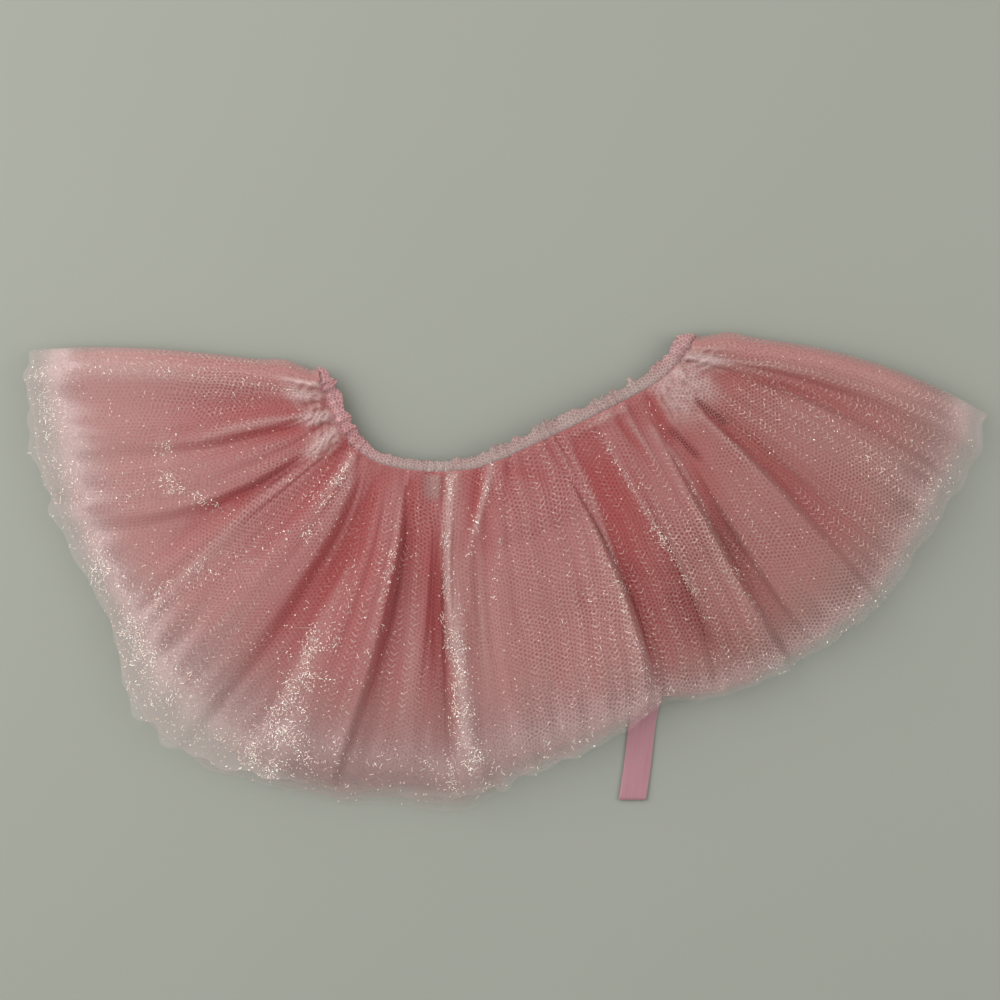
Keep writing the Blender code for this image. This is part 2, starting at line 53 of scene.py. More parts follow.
# Sizes shared with the solids, in millimetres
NET_WALL = 1.2
SEAM_GAP = 0.3
SKIRT_START_GAP = 0.9
LAYER_PITCH = NET_WALL + SEAM_GAP
LAYERS = 3
PANEL_SPACE = 3.2
CASING_HEIGHT = 4.4
CASING_WALL = 1.0
CASING_SPREAD = 5.0
ELASTIC_THICKNESS = 1.0
RIBBON_WIDTH = 9.5
RIBBON_WALL = 1.0
LIFT_REACH = 13.0
LIFT_FADE = 16.0
STATION_NUDGE = 0.05
SHARE_NUDGE = 0.02
KNOT_CENTRE = np.array([24.5, 39.5])
KNOT_LENGTH = 8.0
KNOT_WIDTH = 10.0
KNOT_TURN = math.radians(22.0)
LOOP_HEIGHT = 2 * RIBBON_WALL + SEAM_GAP
KNOT_HEIGHT = LOOP_HEIGHT

# Sizes of the cloth itself, in millimetres
STEEPEST_FOLD = 4.6
CLOTH_PITCH = 1.1            # square distance between two rings of net
INNER_CALM = 0.85
COLUMN_STEP = 0.72
LOWER_COLUMN_STEP = 1.6
SKIRT_ROWS = 72
SKIRT_SHARES = np.linspace(0, 1, SKIRT_ROWS + 1) ** 1.2
SIDE_ANGLES = np.radians(np.linspace(80, -80, 9))
NET_PITCH = 1.49             # one hole to the next
GATHER_PITCH = 5.6
GATHER_RISE = 0.55
CREASE_RISE = 0.95
CASING_PITCH = 2.9
CASING_COLUMN_STEP = 0.3
TUCK_ROWS = ((3.9, 1.0), (4.4, 0.72), (4.85, 0.3))   # reach from the edge, share of the rise
SIDE_FADE = 9.0              # where creases fade towards the turned sides
LOWER_SIDE_FADE = 12.0
LOWER_RUNS = 11              # runs of thread round the lower panel
ROUTE_SMOOTHING = 6          # rounds of smoothing of a ribbon's line
RIBBON_CLOTH = 0.35
STITCH_STEP = 2.2

FOLD_COLUMNS = ("name", "waist_x", "waist_y", "middle_x", "middle_y", "hem_x", "hem_y",
                "rise_middle", "rise_hem")
FOLD_ROWS = (
    ("side_left",        -61.2,   66.8,  -116.5,   72.0,  -160.0,   72.5,  0.0, 0.0),
    ("upper_band",       -60.3,   64.2,  -114.5,   68.0,  -161.5,   67.5,  3.0, 3.0),
    ("upper_valley",     -59.3,   61.7,  -111.0,   57.5,  -159.5,   57.5,  0.0, 1.0),
    ("thin_ridge",       -58.4,   59.3,  -105.0,   46.0,  -157.0,   45.5,  4.0, 2.5),
    ("thin_valley",      -57.5,   57.1,  -103.5,   42.0,  -156.0,   39.0,  0.5, 0.5),
    ("wide_left_top",    -56.7,   54.9,  -103.5,   35.5,  -154.5,   29.5,  4.0, 3.0),
    ("wide_left_edge",   -55.7,   52.8,  -103.0,   25.5,  -152.5,   20.0,  5.0, 4.0),
    ("wedge_valley",     -54.6,   50.8,  -102.0,   19.0,  -145.5,    4.0,  0.0, 0.0),
    ("pleat_a_left",     -53.3,   48.7,   -97.0,   14.0,  -135.0,  -15.0,  4.0, 3.5),
    ("pleat_a_dip",      -51.8,   46.7,   -87.0,   12.5,  -129.0,  -28.5,  2.5, 2.5),
    ("pleat_a_ridge",    -50.0,   44.8,   -73.5,   12.0,  -119.0,  -42.0,  6.0, 4.5),
    ("pleat_a_edge",     -47.8,   43.0,   -67.0,    4.5,  -108.5,  -51.5,  5.0, 3.0),
    ("valley_ab",        -45.0,   41.4,   -60.5,   -4.0,   -97.0,  -58.5,  0.0, 0.0),
    ("pleat_b_left",     -41.8,   40.2,   -54.5,   -8.0,   -86.0,  -67.0,  4.5, 4.0),
    ("pleat_b_crest",    -38.2,   39.3,   -48.5,  -12.5,   -72.5,  -71.0,  6.0, 4.5),
    ("pleat_b_edge",     -34.8,   38.7,   -42.0,  -12.5,   -61.5,  -73.0,  6.5, 4.5),
    ("valley_bc",        -32.5,   38.4,   -38.0,  -15.0,   -54.5,  -75.0,  0.0, 0.0),
    ("low_ridge",        -27.5,   38.1,   -29.0,  -18.0,   -39.5,  -75.0,  2.0, 2.0),
    ("valley_c",         -22.5,   38.0,   -24.0,  -17.0,   -23.5,  -77.5,  0.0, 0.0),
    ("pleat_c_edge",     -19.0,   38.1,   -20.5,  -16.0,   -16.0,  -77.0,  6.5, 5.0),
    ("pleat_c_crest",    -15.5,   38.4,   -15.0,  -16.0,    -8.5,  -75.0,  6.0, 4.0),
    ("short_valley",     -10.5,   39.3,    -9.0,  -15.0,    -2.5,  -73.5,  3.5, 3.0),
    ("pleat_d_left",      -5.5,   41.0,    -2.5,  -14.5,     5.5,  -70.0,  5.5, 4.0),
    ("pleat_d_flat",       2.0,   44.3,    15.0,  -11.5,    21.0,  -64.0,  4.5, 4.0),
    ("pleat_d_crest",      8.0,   47.1,    32.5,  -11.0,    39.0,  -55.0,  5.5, 5.0),
    ("pleat_d_edge",      11.5,   48.8,    41.0,  -10.0,    48.5,  -50.5,  6.5, 6.0),
    ("gap_left",          14.5,   50.2,    45.5,  -11.0,    54.5,  -45.0,  0.0, 0.0),
    ("gap_right",         28.0,   56.6,    60.0,   -8.0,    69.0,  -44.0,  0.0, 0.0),
    ("pleat_e_left",      32.0,   58.6,    65.0,   -6.5,    75.5,  -42.5,  5.0, 4.0),
    ("pleat_e_flat",      37.0,   61.1,    70.5,   -2.0,    86.0,  -39.0,  5.0, 4.0),
    ("pleat_e_edge",      42.5,   64.0,    76.0,    4.0,    96.5,  -32.5,  6.0, 4.5),
    ("valley_ef",         45.5,   65.7,    79.5,    6.0,   103.0,  -28.5,  0.0, 0.0),
    ("pleat_f_left",      48.0,   67.2,    83.0,    8.5,   108.0,  -25.0,  4.5, 3.5),
    ("pleat_f_crest",     51.0,   69.2,    90.5,   15.5,   117.5,  -18.0,  5.5, 4.0),
    ("pleat_f_edge",      53.0,   70.8,    98.0,   23.0,   126.5,  -10.0,  5.5, 4.0),
    ("valley_fg",         54.5,   72.2,   102.0,   26.5,   131.5,   -4.5,  0.0, 0.0),
    ("wide_right_low",    56.0,   73.8,   107.0,   34.5,   139.5,    8.5,  3.5, 3.0),
    ("wide_right_top",    57.4,   75.5,   111.5,   54.0,   151.0,   29.5,  5.0, 3.5),
    ("lower_valley",      58.6,   77.1,   114.0,   61.5,   157.0,   40.0,  0.0, 0.0),
    ("lower_band",        59.7,   78.7,   115.5,   66.5,   161.0,   46.5,  3.5, 2.5),
    ("side_right",        60.7,   80.2,   116.0,   71.0,   162.0,   52.5,  0.0, 0.0),
)
CREASE = {row[0]: number for number, row in enumerate(FOLD_ROWS)}

# Crisp sides of folds: after this crease the net drops between two shares of the way on
CRISP_SIDES = {
    "wide_left_edge": (0.0, 0.55), "pleat_a_edge": (0.0, 0.4), "pleat_b_edge": (0.0, 0.5),
    "valley_c": (0.6, 1.0), "short_valley": (0.55, 1.0), "pleat_d_edge": (0.0, 0.5),
    "gap_right": (0.7, 1.0), "pleat_e_edge": (0.0, 0.5), "valley_ef": (0.55, 1.0),
    "pleat_f_edge": (0.0, 0.5), "wide_right_top": (0.0, 0.5), "valley_ab": (0.4, 1.0),
}

# Hems: how far each ring is let down at a crease
HEM_COLUMNS = ("crease", "glitter", "pink", "under")
HEM_ROWS = (
    ("side_left",      7.5,  0.0, -2.5),
    ("thin_ridge",     7.0,  0.4, -3.0),
    ("wide_left_edge", 5.0,  0.0, -2.0),
    ("wedge_valley",   3.5, -0.5, -4.0),
    ("pleat_a_left",   5.5,  0.0, -3.0),
    ("pleat_a_ridge",  7.5, -0.5, -4.0),
    ("valley_ab",      8.0,  0.0, -3.5),
    ("pleat_b_left",   2.5,  0.6, -3.0),
    ("pleat_b_edge",   1.5,  0.0, -2.0),
    ("valley_c",       2.0, -0.5, -4.0),
    ("pleat_c_edge",   2.8,  0.4, -3.0),
    ("short_valley",   2.0,  0.0, -3.5),
    ("pleat_d_flat",   2.5,  0.5, -3.0),
    ("pleat_d_edge",   2.2,  0.0, -2.5),
    ("gap_left",       3.0, -0.5, -2.0),
    ("pleat_e_left",   3.0,  0.3, -3.0),
    ("valley_ef",      4.5,  0.0, -4.0),
    ("pleat_f_crest",  6.0,  0.5, -3.0),
    ("valley_fg",      5.5,  0.0, -2.5),
    ("wide_right_low", 7.0,  0.4, -3.5),
    ("lower_valley",   6.5,  0.0, -3.0),
    ("side_right",     4.0,  0.0, -2.5),
)
LOWER_HEM_BULGE = (11.5, 21.5, 5.0)   # the table side shows past the hem between these

# Finer creases of the upper panels: crease place at the top and at the end (between the
# fold rows by number), shares down the skirt, half width and height (a trough is negative)
FINE_CREASES = (
    (1.5, 1.4, 0.05, 0.60, 1.2, -0.5), (2.4, 2.6, 0.10, 0.85, 1.6, 0.6),
    (3.5, 3.4, 0.02, 0.45, 0.9, -0.4), (4.4, 4.6, 0.15, 0.95, 1.5, 0.7),
    (5.3, 5.5, 0.05, 0.55, 1.2, -0.7), (5.8, 5.6, 0.35, 1.00, 1.8, -0.6),
    (6.4, 6.5, 0.05, 0.70, 1.4, 0.5), (7.3, 7.5, 0.05, 0.55, 1.1, 0.6),
    (7.6, 7.9, 0.30, 1.00, 1.8, 0.7), (8.4, 8.3, 0.05, 0.50, 1.2, -0.6),
    (8.8, 9.2, 0.35, 1.00, 1.6, 0.5), (9.5, 9.6, 0.03, 0.80, 1.3, -0.7),
    (10.5, 10.4, 0.10, 0.75, 1.2, -0.5), (11.5, 11.6, 0.02, 0.60, 1.0, 0.5),
    (12.5, 12.4, 0.05, 0.80, 1.2, 0.8), (13.4, 13.6, 0.05, 0.90, 1.3, -0.7),
    (14.5, 14.4, 0.08, 0.70, 1.1, -0.6), (15.3, 15.2, 0.10, 1.00, 0.9, 0.4),
    (16.4, 16.5, 0.03, 0.55, 1.0, 0.6), (16.8, 16.6, 0.20, 1.00, 1.2, -0.4),
    (17.4, 17.3, 0.15, 0.90, 1.3, -0.5), (18.4, 18.5, 0.03, 0.60, 0.9, 0.4),
    (19.5, 19.4, 0.05, 0.95, 1.3, -0.6), (20.4, 20.6, 0.10, 0.60, 1.4, 0.5),
    (21.4, 21.5, 0.05, 0.80, 1.4, -0.6), (22.3, 22.4, 0.03, 0.70, 1.4, -0.8),
    (22.8, 22.7, 0.20, 1.00, 1.5, 0.6), (23.4, 23.5, 0.05, 0.90, 1.6, 0.6),
    (23.8, 23.7, 0.10, 0.60, 1.2, -0.6), (24.5, 24.4, 0.03, 1.00, 1.2, -0.5),
    (26.3, 26.4, 0.05, 0.60, 1.5, 0.9), (26.7, 26.6, 0.10, 0.90, 1.6, 0.6),
    (28.4, 28.5, 0.05, 0.75, 1.1, -0.6), (29.4, 29.5, 0.03, 0.90, 1.3, -0.7),
    (30.5, 30.4, 0.05, 0.60, 0.9, 0.4), (31.5, 31.4, 0.10, 0.80, 1.0, 0.5),
    (32.5, 32.4, 0.05, 0.70, 1.2, -0.6), (33.4, 33.5, 0.10, 0.95, 1.3, -0.7),
    (34.5, 34.4, 0.05, 0.60, 0.9, 0.4), (35.5, 35.6, 0.05, 0.70, 1.2, 0.6),
    (36.3, 36.4, 0.10, 0.90, 1.6, -0.7), (36.7, 36.8, 0.25, 1.00, 1.8, 0.7),
    (37.3, 37.4, 0.02, 0.60, 1.4, -0.6), (37.8, 37.6, 0.15, 0.95, 1.5, 0.6),
    (38.5, 38.4, 0.05, 0.60, 1.1, 0.7), (39.5, 39.4, 0.10, 0.70, 1.0, -0.4),
)
# The same for the panels that face down; they lie level, so these are low ridges
LOWER_CREASES = (
    (1.5, 1.8, 0.05, 0.85, 2.2, 0.6), (4.2, 4.6, 0.02, 1.00, 2.8, 1.0),
    (6.8, 6.5, 0.10, 0.70, 2.0, 0.7), (9.2, 9.0, 0.05, 1.00, 2.6, 1.1),
    (11.6, 11.9, 0.02, 0.80, 1.8, 0.7), (13.7, 13.5, 0.05, 1.00, 2.4, 1.0),
    (16.2, 16.3, 0.02, 0.90, 2.2, 0.8), (18.6, 18.4, 0.04, 1.00, 2.4, 1.1),
    (20.9, 21.1, 0.10, 0.85, 2.0, 0.7), (23.3, 23.4, 0.02, 1.00, 2.6, 1.0),
    (25.8, 25.6, 0.05, 0.80, 2.0, 0.8), (29.6, 29.8, 0.02, 1.00, 2.4, 1.0),
    (32.3, 32.1, 0.06, 0.90, 2.0, 0.7), (34.4, 34.6, 0.02, 1.00, 2.4, 1.1),
    (36.6, 36.4, 0.08, 0.85, 2.2, 0.8), (38.5, 38.4, 0.03, 0.90, 2.0, 0.6),
)

# Creases listed in plan, from waist to hem: how softly each fades on the side of
# the left end and of the right end, then places with how deep it is there, or how raised
# where that is below 0
# The depths also colour the net: troughs deeper pink, partly painted shade, and raised places
# paler, painted highlight.
HAND_CREASES = (
    ("top band, pale", 4.2, 4.2, ((-72.6, 62.1, -0.15), (-97.2, 64.9, -0.35),
     (-114.7, 68.8, -0.4), (-135.8, 71.2, -0.4), (-154.7, 72.6, -0.35))),
    ("first trough", 7.0, 1.4, ((-61.4, 56.1, 0.8), (-68.4, 55.4, 0.75), (-76.8, 54.7, 0.6),
     (-86.0, 53.7, 0.5), (-95.4, 52.3, 0.42), (-106.0, 49.5, 0.34), (-116.5, 46.3, 0.22),
     (-132.3, 43.2, 0.1))),
    ("thin ridge", 1.4, 1.4, ((-56.5, 55.4, -0.5), (-63.9, 54.7, -0.55), (-72.6, 53.3, -0.5),
     (-81.4, 52.3, -0.45), (-90.2, 50.5, -0.4), (-97.9, 48.4, -0.3), (-107.7, 44.9, -0.18))),
    ("second trough", 1.2, 3.2, ((-62.1, 50.5, 0.8), (-70.9, 49.1, 0.85), (-79.6, 48.1, 0.65),
     (-88.4, 47.0, 0.45), (-97.2, 45.3, 0.22))),
    ("crossing tuck", 1.8, 1.8, ((-56.1, 53.3, -0.45), (-61.4, 48.4, -0.4), (-66.3, 43.2, -0.25),
     (-70.5, 38.9, -0.1))),
    ("hollow by the tuck", 4.2, 2.1, ((-55.4, 43.9, 0.55), (-59.3, 37.5, 0.65),
     (-63.5, 31.9, 0.6), (-67.4, 26.0, 0.55), (-71.9, 20.0, 0.5), (-78.2, 13.0, 0.35),
     (-86.0, 6.0, 0.2))),
    ("wedge top", 1.1, 1.4, ((-69.8, 37.9, 0.35), (-76.1, 34.4, 0.6), (-83.2, 30.5, 0.65),
     (-90.2, 27.0, 0.65), (-95.1, 24.6, 0.6))),
    ("wedge", 3.2, 6.0, ((-93.7, 24.9, 0.6), (-100.0, 21.4, 0.6), (-106.7, 16.5, 0.45),
     (-114.0, 9.8, 0.32), (-121.8, 3.2, 0.15))),
    ("pleat a, left edge", 1.2, 3.9, ((-76.1, 33.3, -0.15), (-89.5, 21.8, -0.32),
     (-98.9, 11.9, -0.38), (-106.3, 4.6, -0.35), (-118.2, -8.1, -0.25),
     (-127.0, -17.2, -0.25))),
    ("pleat a, ridge", 3.9, 1.0, ((-52.3, 38.9, -0.3), (-54.4, 29.5, -0.36), (-58.2, 21.4, -0.36),
     (-62.8, 12.6, -0.33), (-68.1, 3.2, -0.27), (-74.0, -3.9, -0.18), (-82.5, -11.6, -0.07))),
    ("valley a to b, line", 1.4, 3.2, ((-44.6, 31.9, 0.4), (-47.7, 25.3, 0.75),
     (-51.2, 17.9, 1), (-54.7, 10.2, 1.15), (-57.5, 4.6, 1.12), (-61.1, -2.1, 0.85),
     (-64.9, -10.2, 0.6), (-69.8, -18.6, 0.44), (-75.4, -27.7, 0.3), (-81.4, -36.1, 0.18),
     (-88.4, -46.0, 0.12))),
    ("valley a to b, far", 8.4, 2.8, ((-60.0, 3.2, 0.35), (-66.3, -7.4, 0.56),
     (-73.3, -16.8, 0.56), (-81.1, -26.7, 0.42), (-90.2, -36.1, 0.26), (-98.9, -44.2, 0.12))),
    ("pleat b, left edge", 1.1, 3.2, ((-54.4, 0.4, -0.25), (-60.0, -8.8, -0.4),
     (-64.9, -17.2, -0.42), (-69.8, -27.7, -0.4), (-73.7, -36.1, -0.38), (-77.9, -46.0, -0.3))),
    ("pleat b, hollow", 6.3, 5.6, ((-45.3, 20.7, 0.38), (-47.4, 3.2, 0.64), (-50.9, -10.9, 0.64),
     (-54.4, -24.9, 0.64), (-57.9, -38.9, 0.45), (-61.4, -51.2, 0.26))),
    ("pleat b, right edge", 2.8, 0.8, ((-33.0, 37.5, -0.05), (-35.4, 31.2, -0.06),
     (-36.5, 24.2, -0.05), (-37.2, 10.2, -0.04), (-40.0, -1.1, -0.04), (-42.8, -11.6, -0.04),
     (-45.3, -22.1, -0.03), (-48.1, -30.5, -0.02), (-50.9, -42.5, -0.01))),
    ("valley b to c", 1.1, 4.6, ((-34.4, 27.7, 0.66), (-35.4, 20.7, 0.75), (-36.1, 10.2, 0.75),
     (-38.2, 0.4, 0.75), (-40.4, -8.1, 0.7), (-42.1, -17.9, 0.62), (-44.2, -28.4, 0.44),
     (-47.4, -42.5, 0.31), (-50.2, -54.4, 0.18))),
    ("low ridge, hollow", 4.2, 4.2, ((-27.7, 22.5, 0.2), (-28.8, 10.2, 0.3), (-26.3, -3.9, 0.3),
     (-24.2, -17.9, 0.2))),
    ("low ridge, crest", 3.2, 3.2, ((-33.3, -14.4, -0.2), (-32.6, -28.4, -0.3),
     (-33.3, -42.5, -0.25), (-34.7, -56.5, -0.1))),
    ("valley c", 5.3, 1.1, ((-23.2, 8.4, 0.4), (-23.2, -3.9, 0.69), (-22.5, -17.9, 0.86),
     (-21.4, -28.4, 0.86), (-20.0, -38.9, 0.69), (-18.6, -49.5, 0.52), (-17.5, -61.8, 0.34))),
    ("pleat c, left edge", 1.8, 2.8, ((-18.2, 38.2, -0.56), (-19.6, 31.2, -0.56),
     (-20.7, 20.7, -0.62), (-21.4, 10.2, -0.62), (-21.1, -0.4, -0.67), (-20.0, -10.9, -0.67),
     (-18.2, -21.4, -0.67), (-16.5, -33.7, -0.73), (-15.1, -46.0, -0.73), (-13.7, -60.7, -0.56))),
    ("pleat c, flat face", 4.9, 4.9, ((-10.9, 3.2, -0.2), (-9.5, -17.9, -0.38),
     (-7.4, -46.0, -0.2))),
    ("short valley", 2.8, 1.4, ((-9.5, 37.2, 0.5), (-10.2, 27.7, 0.8), (-11.2, 20.7, 0.75),
     (-13.0, 13.7, 0.5), (-15.1, 6.0, 0.15))),
    ("short ridge", 1.4, 1.6, ((-5.3, 38.2, -0.6), (-6.0, 31.2, -0.6), (-8.1, 24.2, -0.55),
     (-10.2, 17.2, -0.5), (-12.3, 10.9, -0.3))),
    ("hollow by the short ridge", 2.8, 2.8, ((-2.5, 27.7, 0.2), (-5.3, 18.9, 0.35),
     (-6.0, 10.2, 0.3), (-4.6, 1.4, 0.15))),
    ("over the bow's loop", 2.8, 2.8, ((-1.4, 34.4, 0.24), (6.3, 33.7, 0.32),
     (13.7, 31.2, 0.2))),
    ("pleat d, hollow", 4.2, 4.2, ((12.6, 29.5, 0.05), (15.8, 18.9, 0.06), (17.5, 8.4, 0.04))),
    ("pleat d, folds of its face", 1.8, 1.8, ((21.4, 3.2, 0.12), (29.1, -17.9, 0.15),
     (33.3, -42.5, 0.15))),
    ("pleat d, right edge", 3.9, 0.8, ((22.1, 40.0, -0.15), (26.7, 32.6, -0.25),
     (31.6, 22.1, -0.35), (35.8, 10.2, -0.38), (39.6, -1.1, -0.38), (43.2, -11.6, -0.38),
     (46.7, -22.8, -0.42), (50.2, -35.4, -0.45), (54.0, -50.2, -0.4))),
    ("gap", 0.8, 9.8, ((24.2, 41.1, 0.4), (27.4, 34.0, 0.8), (32.6, 22.5, 0.95), (36.5, 10.9, 1),
     (40.4, -0.4, 1), (44.2, -11.6, 0.9), (47.7, -22.1, 0.75), (50.9, -31.9, 0.6),
     (53.7, -43.2, 0.35))),
    ("gap, right side", 7.0, 0.9, ((33.3, 45.3, 0.2), (39.6, 31.9, 0.35), (46.0, 20.7, 0.4),
     (54.4, 8.1, 0.35), (63.5, -7.4, 0.35), (69.1, -18.6, 0.3), (73.3, -28.4, 0.15))),
    ("pleat e, left edge", 0.8, 2.5, ((34.7, 46.0, -0.3), (41.4, 31.9, -0.32),
     (47.7, 20.7, -0.3), (56.5, 8.1, -0.25), (65.6, -7.4, -0.2))),
    ("pleat e, inner fold", 1.2, 1.2, ((39.6, 50.9, 0.35), (46.0, 42.8, 0.45),
     (51.9, 34.4, 0.3))),
    ("pleat e, inner ridge", 1.2, 1.2, ((42.5, 51.6, -0.3), (47.4, 44.6, -0.38),
     (51.9, 37.5, -0.3))),
    ("pleat e, right edge", 3.2, 0.8, ((52.3, 48.8, -0.45), (61.1, 36.5, -0.5),
     (68.1, 22.5, -0.5), (75.8, 3.2, -0.42), (82.5, -8.1, -0.3), (91.6, -19.3, -0.2))),
    ("pale net under the casing", 1.4, 1.8, ((22.8, 46.7, -0.4), (32.6, 51.9, -0.7),
     (41.1, 56.1, -0.5))),
    ("red tuck", 2.8, 2.8, ((50.2, 58.6, 1.01), (53.7, 52.3, 1.08), (56.8, 46.3, 0.88))),
    ("valley e to f", 1.1, 6.0, ((62.8, 41.1, 0.4), (67.0, 31.9, 0.53), (71.2, 22.5, 0.53),
     (75.4, 11.9, 0.43), (80.0, 3.2, 0.3), (85.3, -6.0, 0.17))),
    ("pleat f, left edge", 1.1, 1.1, ((58.2, 48.8, 0.65), (62.5, 43.5, 0.65),
     (67.0, 38.6, 0.5))),
    ("pleat f, ridge", 1.6, 0.9, ((67.7, 53.7, -0.42), (75.8, 46.3, -0.48), (83.9, 39.3, -0.5),
     (91.9, 31.2, -0.5), (99.6, 23.5, -0.5), (107.4, 15.8, -0.45), (114.7, 7.7, -0.4),
     (121.1, 2.5, -0.28))),
    ("valley f to wide fold", 0.9, 5.3, ((75.4, 49.5, 0.41), (82.5, 43.5, 0.6),
     (89.5, 37.2, 0.68), (97.2, 29.1, 0.64), (104.9, 21.4, 0.49), (112.6, 13.0, 0.3),
     (120.4, 4.6, 0.15))),
    ("wide fold, low edge", 1.1, 1.1, ((66.7, 58.6, 0.5), (70.9, 54.0, 0.62), (75.4, 49.8, 0.55),
     (80.7, 44.9, 0.4))),
    ("wide fold, pale", 8.4, 8.4, ((95.8, 50.5, -0.15), (113.3, 42.8, -0.3),
     (132.6, 34.7, -0.3))),
    ("lower right, low net", 6.3, 6.3, ((62.1, -10.9, 0.35), (67.7, -20.7, 0.45),
     (76.8, -26.7, 0.4), (85.3, -30.2, 0.25))),
    ("top hollow", 3.5, 1.4, ((68.8, 68.4, 0.2), (78.2, 66.7, 0.31), (88.8, 64.9, 0.35),
     (101.1, 63.2, 0.32), (111.6, 60.7, 0.22), (122.1, 57.9, 0.12), (130.9, 55.4, 0.04))),
    ("line under the top ridge", 1.1, 1.4, ((80.0, 72.6, -0.2), (95.8, 71.2, -0.4),
     (113.3, 67.7, -0.35), (130.9, 62.1, -0.3))),
    ("right tip, pale", 7.0, 7.0, ((128.1, 62.1, -0.25), (139.6, 58.6, -0.42),
     (151.9, 53.0, -0.3))),
    ("top ridge", 3.9, 0.8, ((67.7, 73.0, -0.39), (81.8, 73.0, -0.55), (95.8, 72.6, -0.55),
     (109.8, 72.3, -0.5), (120.4, 70.9, -0.22))),
    ("over the top ridge", 2.8, 2.8, ((67.0, 77.9, 0.5), (78.2, 77.5, 0.45), (88.8, 76.1, 0.35),
     (102.8, 75.4, 0.15))),
)

# Where the straight run of the net starts anew (in the valleys), and the crest between
# them that its threads run along
NET_SEAMS = ("side_left", "upper_valley", "thin_valley", "wedge_valley", "valley_ab",
             "valley_bc", "valley_c", "short_valley", "gap_left", "gap_right", "valley_ef",
             "valley_fg", "lower_valley", "side_right")
NET_CRESTS = ("upper_band", "thin_ridge", "wide_left_top", "pleat_a_ridge", "pleat_b_crest",
              "low_ridge", "pleat_c_edge", "pleat_d_flat", "gap_left", "pleat_e_flat",
              "pleat_f_crest", "wide_right_low", "lower_band")

# Bands of denser glitter in plan: start, end, half width, share of the densest
GLITTER_BANDS = (
    (-54.4, 38.2, -60.7, 28.8, 1.9, 0.85), (-60.7, 28.8, -70.1, 11.5, 1.8, 0.9),
    (-78.0, 11.6, -107.9, 2.1, 2.4, 0.55), (-107.9, 2.1, -123.5, -13.6, 3.4, 0.7),
    (-62.1, 31.2, -90.2, 3.2, 6.0, 0.28), (-90.2, 3.2, -121.8, -10.9, 7.0, 0.45),
    (-18.9, 38.2, -21.3, 1.4, 1.6, 1.0), (-21.3, 1.4, -15.6, -60.0, 2.1, 1.0),
    (-19.0, -10.9, -11.6, -70.5, 4.2, 0.8), (-5.3, 36.5, -13.0, 7.4, 1.6, 0.9),
    (-3.2, 34.7, -2.5, 3.2, 1.3, 0.45), (-65.6, -24.9, -76.1, -53.0, 8.0, 0.85),
    (-76.1, -53.0, -83.2, -67.0, 7.0, 0.9), (-37.5, 24.2, -42.8, -14.4, 1.8, 0.5),
    (-42.8, -14.4, -49.8, -33.7, 1.8, 0.5), (31.9, 48.8, 60.7, -1.1, 1.4, 0.7),
    (60.7, -1.1, 69.5, -17.9, 1.4, 0.6), (37.2, 3.2, 51.9, -51.2, 1.6, 0.6),
    (50.2, 55.8, 88.8, -17.9, 1.4, 0.5), (99.3, 59.3, 137.9, 45.3, 4.0, 0.3),
    (123.9, 38.2, 144.9, 24.2, 5.0, 0.35), (-153.3, 69.8, -107.7, 69.1, 2.6, 0.4),
    (-107.7, 69.1, -72.6, 61.1, 2.2, 0.4), (-156.8, 52.3, -132.3, 24.2, 4.0, 0.35),
    (-132.3, 24.2, -107.7, 34.7, 4.0, 0.3), (-107.7, -56.5, -81.4, -61.8, 3.4, 0.6),
    (-23.5, -70.5, -13.0, -73.3, 4.6, 0.8), (-146.3, 3.2, -125.3, -28.4, 5.0, 0.6),
    (-119.5, 46.0, -117.0, 27.5, 3.2, 0.9), (-117.0, 28.0, -101.0, 24.0, 2.4, 0.7),
)

# Where the clear net's hem has slid out, and how far
LOOSE_HEM_PLACE = np.array([-150.0, 12.0])
LOOSE_HEM_REACH = 2.4

# Towards the window that lights the cloth, used to paint shade on slopes turned from it, and where
# the pink nets lie thin
WINDOW_WAY = (-0.66, 0.40, 0.62)
SHEER_ROUTE = ((60.5, -12.0), (66.5, -22.0), (76.0, -27.5), (86.0, -31.5))

# Two short rows of stretched holes, dark with the valley's shade, told as glitter bands are
STRETCHED_HOLES = ((66.5, 58.6, 76.0, 51.2, 1.5, 1.0), (57.0, 48.6, 66.2, 39.7, 1.5, 1.0))

# Where the zigzag yarn shows best, told as glitter bands are
ZIGZAG_BANDS = (
    (18.6, 45.3, 46.7, -42.5, 13.0, 1.0), (88.8, 59.3, 141.0, 47.0, 14.0, 1.0),
    (50.2, 31.2, 81.8, -24.9, 8.0, 1.0), (-37.5, 3.2, -37.5, -46.0, 7.0, 1.0),
    (100.0, 33.0, 131.0, 10.2, 11.0, 1.0), (-50.0, -10.0, -62.0, -50.0, 6.0, 1.0))

# Tufts of the frill, by their place along X, and how far each stands out
TUFTS = ((-53.0, 0.8), (-47.5, 0.7), (-38.0, 0.5), (-33.5, 0.8), (-18.0, 0.9), (-4.2, 1.9),
         (-1.5, 1.0), (3.2, 1.1), (10.6, 1.6), (13.8, 0.8), (19.5, 1.0), (24.2, 0.8),
         (30.5, 1.1), (37.0, 1.2), (43.5, 0.9))

